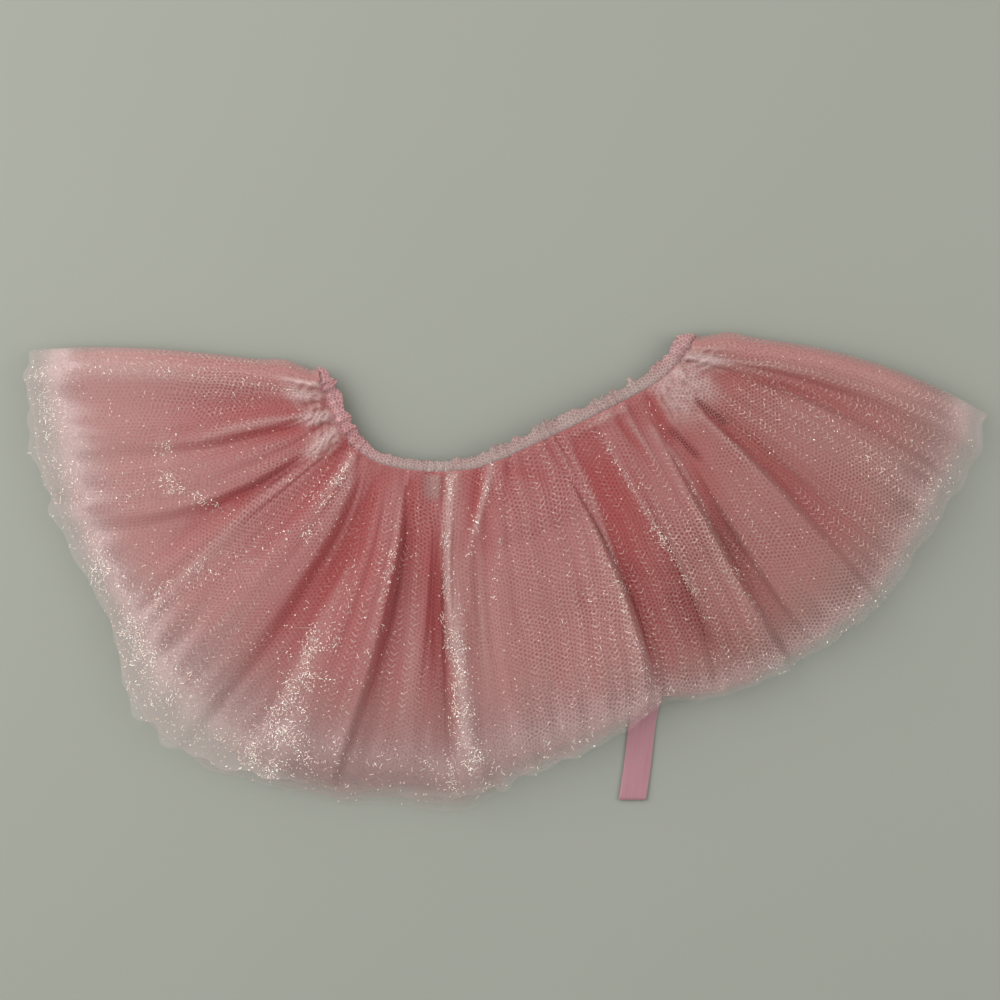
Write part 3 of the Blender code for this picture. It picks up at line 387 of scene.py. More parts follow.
# The casing's section: reach down from the waist edge, rise, and how much its ruches swing it
CASING_PROFILE = (
    (4.75, 0.7, 0.1), (4.45, 0.95, 0.25), (4.1, 1.0, 0.35), (3.7, 1.35, 0.8), (3.2, 1.6, 1.0),
    (2.6, 1.7, 1.0), (2.0, 1.7, 1.0), (1.5, 1.55, 0.9), (1.1, 1.2, 0.6), (0.8, 0.95, 0.45),
    (0.4, 0.85, 0.8), (0.0, 0.7, 1.2), (-0.5, 0.45, 1.6), (-1.0, 0.15, 1.9), (-0.95, -0.2, 1.9),
    (-0.4, -0.5, 1.3), (0.1, -0.8, 0.8), (0.8, -0.95, 0.3), (1.6, -1.4, 0.2), (2.8, -1.6, 0.2),
    (4.0, -1.4, 0.2), (4.5, -1.1, 0.1))

# The ribbon's routes in plan
LONG_TAIL_ROUTE = ((27.5, 33.5), (37.0, 19.0), (46.5, 3.0), (52.5, -12.5), (51.0, -26.5),
                   (50.0, -40.5), (47.5, -53.5), (46.0, -67.0), (44.0, -81.0))
SHORT_TAIL_ROUTE = ((21.5, 32.5), (18.0, 22.5), (18.5, 10.0))
LEFT_LOOP_ROUTE = ((19.0, 38.0), (10.0, 34.5), (0.5, 30.5))
RIGHT_LOOP_ROUTE = ((31.5, 43.5), (41.5, 31.5), (51.0, 17.5))

# From the tables' plan to the frame, in millimetres
knot_low, knot_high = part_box("bow_knot")
SHIFT = np.array([(knot_low[i] + knot_high[i]) / 2 / MM - KNOT_CENTRE[i] for i in (0, 1)])


# The room, in metres: a floor just under the cloth, two soft lamps, a camera straight above
FLOOR_HEIGHT = -0.0003
LAMPS = (("window", (-0.68, 0.33, 0.62), 1.2, 7.9), ("far_wall", (0.95, 0.15, 0.9), 0.9, 4.3))
ROOM_COLOUR = (0.86, 0.9, 0.88, 1.0)
ROOM_STRENGTH = 0.44
CAMERA_HEIGHT = 1.4
VIEW_WIDTH = 0.351
VIEW_CENTRE = (-2.456, 24.21, 0.0)     # in the tables' plan, millimetres


# ---------------------------------------------------------------- the fold table, read

def fold_column(name):
    """One column of the fold table as an array."""
    place = FOLD_COLUMNS.index(name)
    return np.array([row[place] for row in FOLD_ROWS])


def smooth_through(stations, values, wanted):
    """A smooth curve through the values that never swings past them (monotone cubic)."""
    step = np.diff(stations)
    grade = np.diff(values) / step
    slope = np.zeros(len(values))
    slope[0] = grade[0]
    slope[-1] = grade[-1]
    for i in range(1, len(values) - 1):
        if grade[i - 1] * grade[i] > 0:
            near = 2 * step[i] + step[i - 1]
            far = step[i] + 2 * step[i - 1]
            slope[i] = (near + far) / (near / grade[i - 1] + far / grade[i])
    cell = np.clip(np.searchsorted(stations, wanted, side="right") - 1, 0, len(step) - 1)
    share = (wanted - stations[cell]) / step[cell]
    rise = share * share * (3 - 2 * share)
    into = share * (1 - share) ** 2
    out_of = share * share * (share - 1)
    return (values[cell] * (1 - rise) + values[cell + 1] * rise
            + step[cell] * (slope[cell] * into + slope[cell + 1] * out_of))


def ease(share):
    """A soft start and a soft stop between 0 and 1."""
    share = np.clip(share, 0.0, 1.0)
    return share * share * (3 - 2 * share)


def unit(vectors):
    """Vectors of length one."""
    return vectors / np.maximum(np.linalg.norm(vectors, axis=-1, keepdims=True), 1e-9)


def length_along(points):
    """Length along a line of points, up to each of them."""
    steps = np.linalg.norm(np.diff(points, axis=0), axis=1)
    return np.concatenate([[0.0], np.cumsum(steps)])


def fold_places(which):
    """Plan places of every crease at its waist, middle or hem."""
    return np.column_stack([fold_column(which + "_x"), fold_column(which + "_y")])


def fold_stations():
    """A number for each crease that grows with the mean width of the cloth between them."""
    widths = [np.linalg.norm(np.diff(fold_places(which), axis=0), axis=1)
              for which in ("waist", "middle", "hem")]
    return np.concatenate([[0.0], np.cumsum(sum(widths) / 3)])


STATIONS = fold_stations()
HEM_PLACES = STATIONS[[CREASE[row[0]] for row in HEM_ROWS]]


def station_at(place):
    """The station of a place given by crease number and part of the way to the next."""
    return np.interp(place, np.arange(len(STATIONS)), STATIONS)


def across(name, wanted):
    """A column of the fold table read anywhere across the garment."""
    return smooth_through(STATIONS, fold_column(name), wanted)


def plan_across(which, wanted):
    """Plan places at the waist, middle or hem, read anywhere across the garment."""
    return np.column_stack([across(which + "_x", wanted), across(which + "_y", wanted)])


def rise_across(name, wanted):
    """Fold heights across the garment, with the crisp sides squeezed together."""
    rise = across(name, wanted)
    heights = fold_column(name)
    for crease, (start, stop) in CRISP_SIDES.items():
        i = CREASE[crease]
        inside = (wanted >= STATIONS[i]) & (wanted <= STATIONS[i + 1])
        share = (wanted - STATIONS[i]) / (STATIONS[i + 1] - STATIONS[i])
        crisp = heights[i] + (heights[i + 1] - heights[i]) * ease((share - start) / (stop - start))
        rise = np.where(inside, crisp, rise)
    return rise


def hem_drop(which, wanted):
    """How far a ring's hem is let down, with a slightly uneven cut."""
    column = HEM_COLUMNS.index(which)
    drops = smooth_through(HEM_PLACES, np.array([row[column] for row in HEM_ROWS]), wanted)
    return drops + 0.35 * np.sin(wanted * 0.41 + column) * np.sin(wanted * 0.13 + 2 * column)


def waist_frame(wanted):
    """Waist edge in plan, its direction to the right and its direction to the hem."""
    edge = plan_across("waist", wanted)
    ahead = plan_across("waist", np.minimum(wanted + STATION_NUDGE, STATIONS[-1]))
    behind = plan_across("waist", np.maximum(wanted - STATION_NUDGE, STATIONS[0]))
    along = unit(ahead - behind)
    down = np.column_stack([along[:, 1], -along[:, 0]])
    return edge, along, down


def skirt_plan(wanted, share, drop):
    """Plan places of the skirt at a share of its length, with the hem let down by drop."""
    edge, _, down = waist_frame(wanted)
    top = edge + down * (CASING_HEIGHT + SKIRT_START_GAP)
    middle = plan_across("middle", wanted)
    hem = plan_across("hem", wanted)
    length = np.linalg.norm(middle - top, axis=1) + np.linalg.norm(hem - middle, axis=1)
    f = (share * (1 + drop / length))[:, None]
    return top * (1 - 3 * f + 2 * f * f) + middle * 4 * f * (1 - f) + hem * (2 * f * f - f)


def distance_to_route(places, route):
    """Plan distance from each place to a route of straight parts."""
    route = np.array(route)
    best = np.full(len(places), 1e9)
    for start, stop in zip(route[:-1], route[1:]):
        run = stop - start
        share = np.clip((places - start) @ run / (run @ run), 0, 1)
        nearest = start + share[:, None] * run
        best = np.minimum(best, np.linalg.norm(places - nearest, axis=1))
    return best


def marked(points, bands, power):
    """How strongly bands in plan mark each point: start, end, half width and strength."""
    flat = points[..., :2].reshape(-1, 2)
    marks = np.zeros(len(flat))
    for x1, y1, x2, y2, half_width, most in bands:
        far = distance_to_route(flat, ((x1, y1), (x2, y2)))
        marks = np.maximum(marks, most * np.exp(-(far / half_width) ** power))
    return marks.reshape(points.shape[:2])


def ribbon_lift(places):
    """How far the nets are held up by the ribbon that lies under them."""
    lift = np.zeros(len(places))
    for route, height in ((LONG_TAIL_ROUTE, RIBBON_WALL), (SHORT_TAIL_ROUTE, RIBBON_WALL),
                          (LEFT_LOOP_ROUTE, LOOP_HEIGHT), (RIGHT_LOOP_ROUTE, LOOP_HEIGHT)):
        far = distance_to_route(places, route)
        level = (height + SEAM_GAP) * (1 - ease((far - LIFT_REACH) / LIFT_FADE))
        lift = np.maximum(lift, level)
    return lift


def turn_radius(level):
    """Radius of a ring's round side, outermost ring first."""
    return PANEL_SPACE / 2 + LAYER_PITCH * (LAYERS - 1 - level)


SIDE_CENTRE = NET_WALL / 2 + turn_radius(0)


# ---------------------------------------------------------------- the forms of the net

def clear_of_sides(columns, reach):
    """1 over most of a panel, and 0 at its two turned sides."""
    return ease(columns / reach) * ease((STATIONS[-1] - columns) / reach)


def columns_every(step):
    """Stations across the garment that keep every crease and lie about a step apart."""
    parts = []
    for start, stop in zip(STATIONS[:-1], STATIONS[1:]):
        count = max(2, math.ceil((stop - start) / step))
        parts.append(np.linspace(start, stop, count, endpoint=False))
    return np.concatenate(parts + [STATIONS[-1:]])


def soften(widths, heights):
    """Lower the folds that would be steeper than the net can stand, and round them."""
    most = widths * STEEPEST_FOLD
    heights = heights.copy()
    for i in range(1, len(heights)):
        heights[i] = min(heights[i], heights[i - 1] + most[i - 1])
    for i in range(len(heights) - 2, -1, -1):
        heights[i] = min(heights[i], heights[i + 1] + most[i])
    heights[1:-1] = (heights[:-2] + 4 * heights[1:-1] + heights[2:]) / 6
    return heights


def widths_between(columns, share, drop):
    """Widths of cloth between columns, measured square to the creases."""
    plan = skirt_plan(columns, share, drop)
    run = unit(skirt_plan(columns, share + SHARE_NUDGE, drop) - plan)
    run = unit(run[1:] + run[:-1])
    step = np.diff(plan, axis=0)
    return np.abs(step[:, 0] * run[:, 1] - step[:, 1] * run[:, 0])


def fold_rise(columns, share):
    """Height of the folds above the flat net: nothing at the waist, most at the middle."""
    middle = rise_across("rise_middle", columns)
    hem = rise_across("rise_hem", columns)
    if share < 0.5:
        return middle * ease(share / 0.5)
    return middle + (hem - middle) * ease((share - 0.5) / 0.5)


def crease_heights(rows, columns, share):
    """Heights of finer creases from a table, at one share down the skirt."""
    height = np.zeros(len(columns))
    for top, end, start, stop, half_width, depth in rows:
        along = (share - start) / (stop - start)
        if 0 <= along <= 1:
            centre = station_at(top + (end - top) * along)
            strength = ease(along / 0.2) * (1 if stop >= 1 else ease((1 - along) / 0.35))
            height += depth * strength * np.exp(-((columns - centre) / half_width) ** 2)
    return height


def hand_creases(places):
    """How deep, or below 0 how raised, the listed creases make each plan place."""
    depth = np.zeros(len(places))
    for _, before, after, line in HAND_CREASES:
        line = np.array(line)
        reach = 2.4 * max(before, after)
        near = np.all((places > line[:, :2].min(axis=0) - reach)
                      & (places < line[:, :2].max(axis=0) + reach), axis=1)
        spots = places[near]
        best = np.full(len(spots), 1e9)
        level = np.zeros(len(spots))
        for start, stop in zip(line[:-1], line[1:]):
            run = (stop - start)[:2]
            away = spots - start[:2]
            share = np.clip(away @ run / (run @ run), 0, 1)
            width = np.where(run[0] * away[:, 1] - run[1] * away[:, 0] > 0, after, before)
            far = np.linalg.norm(away - share[:, None] * run, axis=1) / width
            level = np.where(far < best, start[2] + (stop[2] - start[2]) * share, level)
            best = np.minimum(best, far)
        depth[near] += level * np.exp(-best ** 2)
    return depth


def waist_run(columns):
    """Length along the waist edge to each station."""
    return length_along(plan_across("waist", columns))


def gather_waves(run, pitch):
    """Uneven waves of net drawn up on its thread, from -1 to 1."""
    waves = np.sin(run * 2 * math.pi / pitch + 1.9 * np.sin(run / 5.3) + np.sin(run / 2.1))
    return waves * (0.55 + 0.45 * np.sin(run / 3.7 + 1.0 + 1.3 * np.sin(run / 13.0)))


def layer_spacing(grid):
    """Upright distance that keeps layers CLOTH_PITCH apart, at each point of a panel."""
    around = np.gradient(grid, axis=1)
    along = np.gradient(grid, axis=0)
    facing = np.abs(unit(np.cross(along, around))[..., 2])
    beside = np.minimum(np.roll(facing, 1, axis=1), np.roll(facing, -1, axis=1))
    return CLOTH_PITCH / np.clip(np.minimum(facing, beside), 0.42, 1.0)


def upper_panel(level, which, shares):
    """The folded upper panel of one ring of net: rows of points and the folds' heights."""
    columns = columns_every(COLUMN_STEP)
    ragged = (0.9 * np.sin(columns * 0.37 + 1.7 * np.sin(columns * 0.15) + level * 1.9)
              + 0.5 * np.sin(columns * 0.83 + level * 0.8))
    drop = hem_drop(which, columns)
    if level == 0:
        away = np.linalg.norm(skirt_plan(columns, 1.0, drop) - LOOSE_HEM_PLACE, axis=1)
        ragged += LOOSE_HEM_REACH * np.exp(-(away / 11.0) ** 2)
    sides = clear_of_sides(columns, SIDE_FADE)
    drop = drop + ragged * sides
    plan = np.array([skirt_plan(columns, share, drop) for share in shares])
    run = waist_run(columns)
    waves = gather_waves(run, GATHER_PITCH)
    creases = hand_creases(plan.reshape(-1, 2)).reshape(plan.shape[:2]) * sides
    bunched = 1 - ease((np.minimum(run, run[-1] - run) - 12.0) / 15.0)
    left_part = 1 - ease((columns - STATIONS[CREASE["pleat_a_left"]]) / 50.0)
    rise = []
    for share, depth in zip(shares, creases):
        folds = soften(widths_between(columns, share, drop), fold_rise(columns, share))
        folds *= 1 - (0.12 + 0.50 * left_part) * ease((share - 0.12) / 0.5)
        bunch = bunched * (1 - ease((share - 0.05) / 0.11))
        cords = bunched * waves * (1 - ease((share - 0.04) / 0.24))
        pucker = (np.sin(run * 1.9 + 2.4 * np.sin(share * 60.0))
                  * np.cos(share * 95.0 + 1.5 * np.sin(run * 0.9)))
        fine = 0.7 * crease_heights(FINE_CREASES, columns, share)
        gathers = GATHER_RISE * waves * (1 - ease(share / 0.20)) + 0.75 * cords
        flutter = (0.45 * np.sin(columns * 0.31 + 2.2 * np.sin(columns * 0.11))
                   * ease((share - 0.70) / 0.3))
        rise.append(np.maximum(folds * (0.25 + 0.75 * sides) - CREASE_RISE * depth, -0.5)
                    + (fine + gathers + flutter) * sides
                    + 0.75 * bunch * (1 + pucker) * ease(share / 0.02))
        depth -= bunch * (1.3 + 0.22 * pucker) + 0.42 * cords
    rise = np.array(rise)
    rise[:, 0] = 0
    rise[:, -1] = 0
    lift = np.array([ribbon_lift(row) for row in plan])
    grid = np.dstack([plan, SIDE_CENTRE + turn_radius(0) + lift + rise])
    for inner in range(1, level + 1):
        tucked = grid[..., 2] - layer_spacing(grid)
        calmer = SIDE_CENTRE + turn_radius(inner) + lift + rise * INNER_CALM ** inner
        grid[..., 2] = np.minimum(tucked, calmer)
    return grid, rise, creases, columns


def side_turn(level, share, drop, right_side):
    """Points round the turned side of one ring, from its upper panel to its lower one."""
    station = STATIONS[-1:] if right_side else STATIONS[:1]
    sign = 1 if right_side else -1
    radius = turn_radius(level)
    centre = skirt_plan(station, share, drop)[0]
    run = unit(skirt_plan(station, share + SHARE_NUDGE, drop)[0] - centre)
    casing_outward = sign * waist_frame(station)[1][0]
    skirt_outward = sign * np.array([-run[1], run[0]])
    turned = ease(share / 0.19)
    outward = unit(casing_outward * (1 - turned) + skirt_outward * turned)
    height = SIDE_CENTRE + ribbon_lift(centre[None, :])[0]
    swell = math.exp(-((share - 0.09) / 0.07) ** 2)
    points = []
    for angle in SIDE_ANGLES:
        side = centre + outward * radius * math.cos(angle) * (1 + 0.38 * swell)
        points.append([side[0], side[1], height + radius * math.sin(angle)])
    return points if right_side else points[::-1]


def lower_panel(level, which, shares):
    """The plain lower panel of one ring, from right to left, with its low ridges."""
    columns = columns_every(LOWER_COLUMN_STEP)
    start, stop, bulge = LOWER_HEM_BULGE
    low, high = station_at(start), station_at(stop)
    hump = np.sin(np.clip((columns - low) / (high - low), 0, 1) * math.pi) ** 0.7
    drop = hem_drop(which, columns) + bulge * hump
    sides = clear_of_sides(columns, LOWER_SIDE_FADE)
    waves = gather_waves(waist_run(columns) + 40.0, GATHER_PITCH)
    rows = []
    for share in shares:
        plan = skirt_plan(columns, share, drop)
        ridges = np.maximum(crease_heights(LOWER_CREASES, columns, share), 0)
        gathers = 0.4 * (1 + waves) * (1 - ease(share / 0.25))
        z = (SIDE_CENTRE - turn_radius(level) + ribbon_lift(plan)
             + np.minimum(ridges + gathers, 1.3) * sides)
        rows.append(np.column_stack([plan, z]))
    return np.array(rows)[:, ::-1], columns[::-1]


def tuck_under_casing(level, columns, z_start, upper):
    """Rows that carry a ring from its top edge in under the casing's stitched edge."""
    edge, _, down = waist_frame(columns)
    casing_level = 8.0 if upper else 0.75
    rows = []
    for reach, share in TUCK_ROWS:
        if level > 0:
            share *= 0.15
        plan = edge + down * reach
        z = z_start + (casing_level + ribbon_lift(edge) - z_start) * share
        rows.append(np.column_stack([plan, z]))
    return rows


def skirt_grid(level, which):
    """One ring of net: rows of closed rings from waist to hem, with what each column is."""
    upper, rise, creases, columns = upper_panel(level, which, SKIRT_SHARES)
    lower, lower_columns = lower_panel(level, which, SKIRT_SHARES)
    left_drop, right_drop = hem_drop(which, STATIONS[[0, -1]])[:, None]
    rights = np.array([side_turn(level, share, right_drop, True) for share in SKIRT_SHARES])
    lefts = np.array([side_turn(level, share, left_drop, False) for share in SKIRT_SHARES])
    left_down, right_down = waist_frame(STATIONS[[0, -1]])[2]
    upper_tucks = tuck_under_casing(level, columns, upper[0, :, 2], True)
    lower_tucks = tuck_under_casing(level, lower_columns, lower[0, :, 2], False)
    tucks = []
    for (reach, _), upper_row, lower_row in zip(TUCK_ROWS, upper_tucks, lower_tucks):
        back = reach - (CASING_HEIGHT + SKIRT_START_GAP)
        right_row = rights[0] + np.array([*(right_down * back), 0.0])
        left_row = lefts[0] + np.array([*(left_down * back), 0.0])
        tucks.append(np.concatenate([upper_row, right_row, lower_row, left_row]))
    panels = np.concatenate([upper, rights, lower, lefts], axis=1)
    grid = np.concatenate([np.array(tucks), panels])
    heights, depths = np.zeros((2, *grid.shape[:2]))
    for table, found in ((heights, rise), (depths, creases)):
        table[:, :len(columns)] = np.concatenate([found[[0] * len(TUCK_ROWS)], found])
    places = np.concatenate([columns, np.full(len(SIDE_ANGLES), STATIONS[-1]), lower_columns,
                             np.full(len(SIDE_ANGLES), STATIONS[0])])
    return grid, heights, depths, places, len(columns)


def net_runs(places, upper_count):
    """For each face column round a ring, the column its threads are measured from."""
    count = len(places)
    from_column = np.zeros(count, int)
    upper = places[:upper_count]
    seams = [STATIONS[CREASE[name]] for name in NET_SEAMS]
    for start, stop, crest in zip(seams[:-1], seams[1:], NET_CRESTS):
        middle = int(np.argmin(np.abs(upper - STATIONS[CREASE[crest]])))
        first = int(np.argmin(np.abs(upper - start)))
        last = int(np.argmin(np.abs(upper - stop)))
        from_column[first:last] = middle
    rest = np.arange(upper_count - 1, count)
    for part in np.array_split(rest, LOWER_RUNS):
        from_column[part] = part[len(part) // 2]
    return from_column


def net_threads(grid, places, upper_count):
    """Places of face corners on the net's own threads, in millimetres, for the pattern."""
    closed = np.concatenate([grid, grid[:, :1]], axis=1)
    around = np.linalg.norm(np.diff(closed, axis=1), axis=2)
    around = np.concatenate([np.zeros((len(grid), 1)), np.cumsum(around, axis=1)], axis=1)
    down = np.linalg.norm(np.diff(grid, axis=0), axis=2)
    down = np.concatenate([np.zeros((1, grid.shape[1])), np.cumsum(down, axis=0)])
    down = np.concatenate([down, down[:, :1]], axis=1)
    start = net_runs(places, upper_count)
    rows = np.arange(len(grid))[:, None]
    sway = 0.35 * np.sin(down / 9.0 + around / 14.0) + 0.2 * np.sin(down / 3.7 - around / 5.1)
    offsets = (start * 7.31) % 40.0
    left = around[:, :-1] - around[rows, start[None, :]] + offsets + sway[:, :-1]
    right = around[:, 1:] - around[rows, start[None, :]] + offsets + sway[:, 1:]
    return left, right, down[:, :-1], down[:, 1:]


# ---------------------------------------------------------------- meshes and objects

def on_frame(points):
    """Points in the tables' millimetres, as metres in the frame."""
    points = np.array(points, float)
    points[..., :2] += SHIFT
    return points * MM


def new_item(name, data):
    """An object in the scene that shows a mesh, a light or a camera."""
    item = bpy.data.objects.new(name, data)
    bpy.context.scene.collection.objects.link(item)
    return item


def make_piece(name, points, faces, material, corners=None, values=None):
    """An object from points, faces, corner places for the pattern and named point values."""
    mesh = bpy.data.meshes.new(name)
    mesh.from_pydata(on_frame(points).reshape(-1, 3).tolist(), [], faces)
    if corners is not None:
        layer = mesh.uv_layers.new(name="threads")
        layer.data.foreach_set("uv", np.asarray(corners, np.float32).ravel())
    for label, numbers in (values or {}).items():
        attribute = mesh.attributes.new(label, "FLOAT", "POINT")
        attribute.data.foreach_set("value", np.asarray(numbers, np.float32).ravel())
    mesh.materials.append(material)
    mesh.shade_smooth()
    return new_item(name, mesh)


def ring_faces(rows, columns):
    """Quads of a grid of rows of closed rings, facing out of the tube."""
    j, i = np.meshgrid(np.arange(rows - 1), np.arange(columns), indexing="ij")
    a = j * columns + i
    b = j * columns + (i + 1) % columns
    return np.stack([a, a + columns, b + columns, b], axis=-1).reshape(-1, 4)


def quad_corners(*pairs):
    """Pattern places of a grid of quads, from the two parts of each of their corners."""
    return np.stack([np.stack(pair, axis=-1) for pair in pairs], axis=2)


def ring_corners(left, right, down_left, down_right):
    """Pattern places of each quad of ring_faces, corner by corner."""
    return quad_corners((left[:-1], down_left[:-1]), (left[1:], down_left[1:]),
                        (right[1:], down_right[1:]),
                        (right[:-1], down_right[:-1])).reshape(-1, 2)


def strip_faces(rows, columns):
    """Quads of an open grid."""
    j, i = np.meshgrid(np.arange(rows - 1), np.arange(columns - 1), indexing="ij")
    a = j * columns + i
    return np.stack([a, a + columns, a + columns + 1, a + 1], axis=-1).reshape(-1, 4)


# ---------------------------------------------------------------- nodes for materials and scatters

class Wire:
    """A socket that Python sums add Math nodes to."""

    def __init__(self, bench, socket):
        self.bench = bench
        self.socket = socket

    def __add__(self, other):
        return self.bench.math("ADD", self, other)

    def __sub__(self, other):
        return self.bench.math("SUBTRACT", self, other)

    def __rsub__(self, other):
        return self.bench.math("SUBTRACT", other, self)

    def __mul__(self, other):
        return self.bench.math("MULTIPLY", self, other)

    def __truediv__(self, other):
        return self.bench.math("DIVIDE", self, other)

    __radd__ = __add__
    __rmul__ = __mul__


class Bench:
    """Adds nodes to one tree."""

    def __init__(self, tree):
        self.tree = tree

    def node(self, kind, settings=None, values=None):
        """A node of a kind, with its settings made first and its sockets filled after."""
        node = self.tree.nodes.new(kind)
        for name, value in (settings or {}).items():
            if name == "stops":
                for stop, (place, colour) in zip(self.ramp_stops(node, len(value)), value):
                    stop.position = place
                    stop.color = (*colour, 1.0)
            else:
                setattr(node, name, value)
        for name, value in (values or {}).items():
            if isinstance(value, Wire):
                self.tree.links.new(value.socket, node.inputs[name])
            else:
                node.inputs[name].default_value = value
        return node

    def ramp_stops(self, node, count):
        """The stops of a colour ramp, made up to a count."""
        stops = node.color_ramp.elements
        while len(stops) < count:
            stops.new(0.5)
        return stops

    def wire(self, kind, settings=None, values=None, output=0):
        """One output of a new node."""
        return Wire(self, self.node(kind, settings, values).outputs[output])

    def math(self, operation, *values):
        """A Math node on one, two or three values."""
        return self.wire("ShaderNodeMath", {"operation": operation}, dict(enumerate(values)))

    def clamped(self, value):
        """A value kept between 0 and 1."""
        return self.wire("ShaderNodeClamp", None, {"Value": value})

    def larger(self, first, second):
        """The larger of two values."""
        return self.math("MAXIMUM", first, second)

    def value_of(self, label):
        """A named point value of the piece."""
        return self.wire("ShaderNodeAttribute", {"attribute_name": label}, None, "Fac")

    def mixed(self, share, first, second):
        """Two colours mixed."""
        return self.wire("ShaderNodeMix", {"data_type": "RGBA"}, {0: share, 6: first, 7: second}, 2)


def colour(red, green, blue):
    """A colour from screen values of 0 to 255."""
    def linear(level):
        level /= 255
        return level / 12.92 if level <= 0.04045 else ((level + 0.055) / 1.055) ** 2.4
    return (linear(red), linear(green), linear(blue), 1.0)


def new_material(name, **constants):
    """A material, its bench and its shader, with the shader's constant sockets set."""
    material = bpy.data.materials.new(name)
    material.use_nodes = True
    shader = material.node_tree.nodes["Principled BSDF"]
    for label, value in constants.items():
        shader.inputs[label.replace("_", " ")].default_value = value
    return material, Bench(material.node_tree), shader


def join(bench, shader, **links):
    """Wires into the shader's sockets."""
    for label, wire in links.items():
        bench.tree.links.new(wire.socket, shader.inputs[label.replace("_", " ")])


def thread_places(bench):
    """Across and along places on the cloth, in millimetres."""
    at = bench.wire("ShaderNodeUVMap", {"uv_map": "threads"}, None, "UV")
    parts = bench.node("ShaderNodeSeparateXYZ", None, {0: at})
    return at, Wire(bench, parts.outputs[0]), Wire(bench, parts.outputs[1])


def net_mask(bench, across_net, down_net, pitch, limit, softness):
    """1 on the threads of a six-sided net and 0 in its holes."""
    turn = 4 * math.pi / (math.sqrt(3) * pitch)
    holes = (bench.math("COSINE", across_net * turn)
             + 2 * bench.math("COSINE", across_net * (turn / 2))
             * bench.math("COSINE", down_net * (turn * math.sqrt(3) / 2)))
    return bench.clamped((limit - holes) / softness)


def arrow_mask(bench, across_net, down_net, spacing, reach, step, half_width):
    """1 on columns of small stacked arrowheads, as bright yarn is knitted into the net."""
    beside = bench.math("PINGPONG", across_net, spacing / 2)
    off = bench.math("PINGPONG", down_net + beside * 0.85, step / 2)
    return (bench.clamped((half_width - off) / (half_width * 0.8))
            * bench.clamped((reach - beside) / 0.35))


def object_places(bench):
    """The object's own places in metres, as their X, Y and Z."""
    parts = bench.node("ShaderNodeSeparateXYZ", None, {
        0: bench.wire("ShaderNodeTexCoord", None, None, "Object")})
    return [Wire(bench, part) for part in parts.outputs]


def object_noise(bench, scale, detail, roughness=0.5):
    """Soft noise on the object's own places."""
    place = bench.wire("ShaderNodeTexCoord", None, None, "Object")
    return bench.wire("ShaderNodeTexNoise", None,
                      {"Vector": place, "Scale": scale, "Detail": detail, "Roughness": roughness})


def glitter_net_material():
    """Clear net with pale threads, zigzag bright yarn and specks of glitter that glow as painted
    glints.
    """
    material, bench, shader = new_material(
        "glitter_net", Roughness=0.5, Sheen_Weight=0.25, Sheen_Roughness=0.5,
        Specular_IOR_Level=0.4, Emission_Strength=1.0)
    at, u, v = thread_places(bench)
    drawn = object_noise(bench, 210.0, 1.0)
    patch = object_noise(bench, 42.0, 2.0)
    threads = net_mask(bench, u + drawn * 1.7 + patch * 7.0, v - drawn * 1.3 + patch * 5.0,
                       NET_PITCH, 0.35, 1.0)
    open_net = bench.clamped(object_noise(bench, 26.0, 1.0) * 4.2 - 1.7)
    grain = object_noise(bench, 1300.0, 1.0)
    ladder = bench.value_of("zigzag")
    zigzag = (arrow_mask(bench, u + drawn * 0.8, v, 5.9, 1.7, 2.2, 0.30)
              * bench.clamped(patch * 4.0 - 1.5 + ladder * 1.0)
              * bench.clamped(object_noise(bench, 700.0, 0.0) * 3.2 - 0.8))
    cell = bench.wire("ShaderNodeVectorMath", {"operation": "FLOOR"}, {
        0: bench.wire("ShaderNodeVectorMath", {"operation": "SCALE"}, {0: at, "Scale": 2.4})})
    chance = bench.node("ShaderNodeTexWhiteNoise", {"noise_dimensions": "2D"}, {"Vector": cell})
    glitter = bench.value_of("glitter")
    luck = Wire(bench, chance.outputs["Value"])
    speck = bench.math("GREATER_THAN", luck + glitter * 0.022, 0.9988)
    # Point values tint the threads: a deeper pink that is partly painted shade, and a whitening
    # that is partly painted light.
    blush = bench.value_of("blush")
    frost = bench.value_of("frost")
    pale = bench.mixed(blush, colour(216, 180, 174), colour(178, 96, 94))
    # Whitening: partly the net's own pale threads and glitter, partly painted light.
    pale = bench.mixed(frost, pale, colour(251, 218, 214))
    # At the turned sides the net is pinker and denser: partly its threads crowding when seen on
    # edge, partly painted light on sides turned from the window.
    edge = bench.value_of("edge")
    # Painted shade: the right side is darkened towards a dim brown.
    pale = bench.mixed(bench.value_of("dusk") * 0.6, pale, colour(164, 126, 110))
    pale = bench.mixed(edge * (0.85 - frost * 0.6), pale, colour(226, 166, 161))
    body = bench.mixed(zigzag, pale, colour(234, 200, 187))
    body = bench.mixed(speck, body, colour(240, 214, 198))
    # Painted glints: the glitter specks glow though no lamp lights them.
    glow = bench.mixed(speck, (0.0, 0.0, 0.0, 1.0), colour(130, 104, 90))
    # The stretched holes are painted near black: painted shade of the valley seen through them.
    pits = bench.value_of("stretched") * (1.0 - net_mask(bench, u, v, 1.12, 0.7, 0.6))
    body = bench.mixed(pits, body, colour(62, 32, 28))
    hem = bench.value_of("hem")
    weave = ((threads - 0.45) * (open_net * 0.42 + 0.16)
             * bench.value_of("open") * (1.0 - frost * 0.5)
             + (grain - 0.5) * 0.44 + 0.30 - blush * 0.10)
    weave = (weave + frost * frost * 0.26 + zigzag * (0.34 + ladder * 0.12 - blush * 0.22)
             + edge * 0.3)
    cover = bench.larger(weave * (1.0 - hem * (0.86 - frost * 0.13)),
                         bench.larger(speck * 0.8, pits * 0.85))
    join(bench, shader, Base_Color=body, Emission_Color=glow, Alpha=cover)
    return material


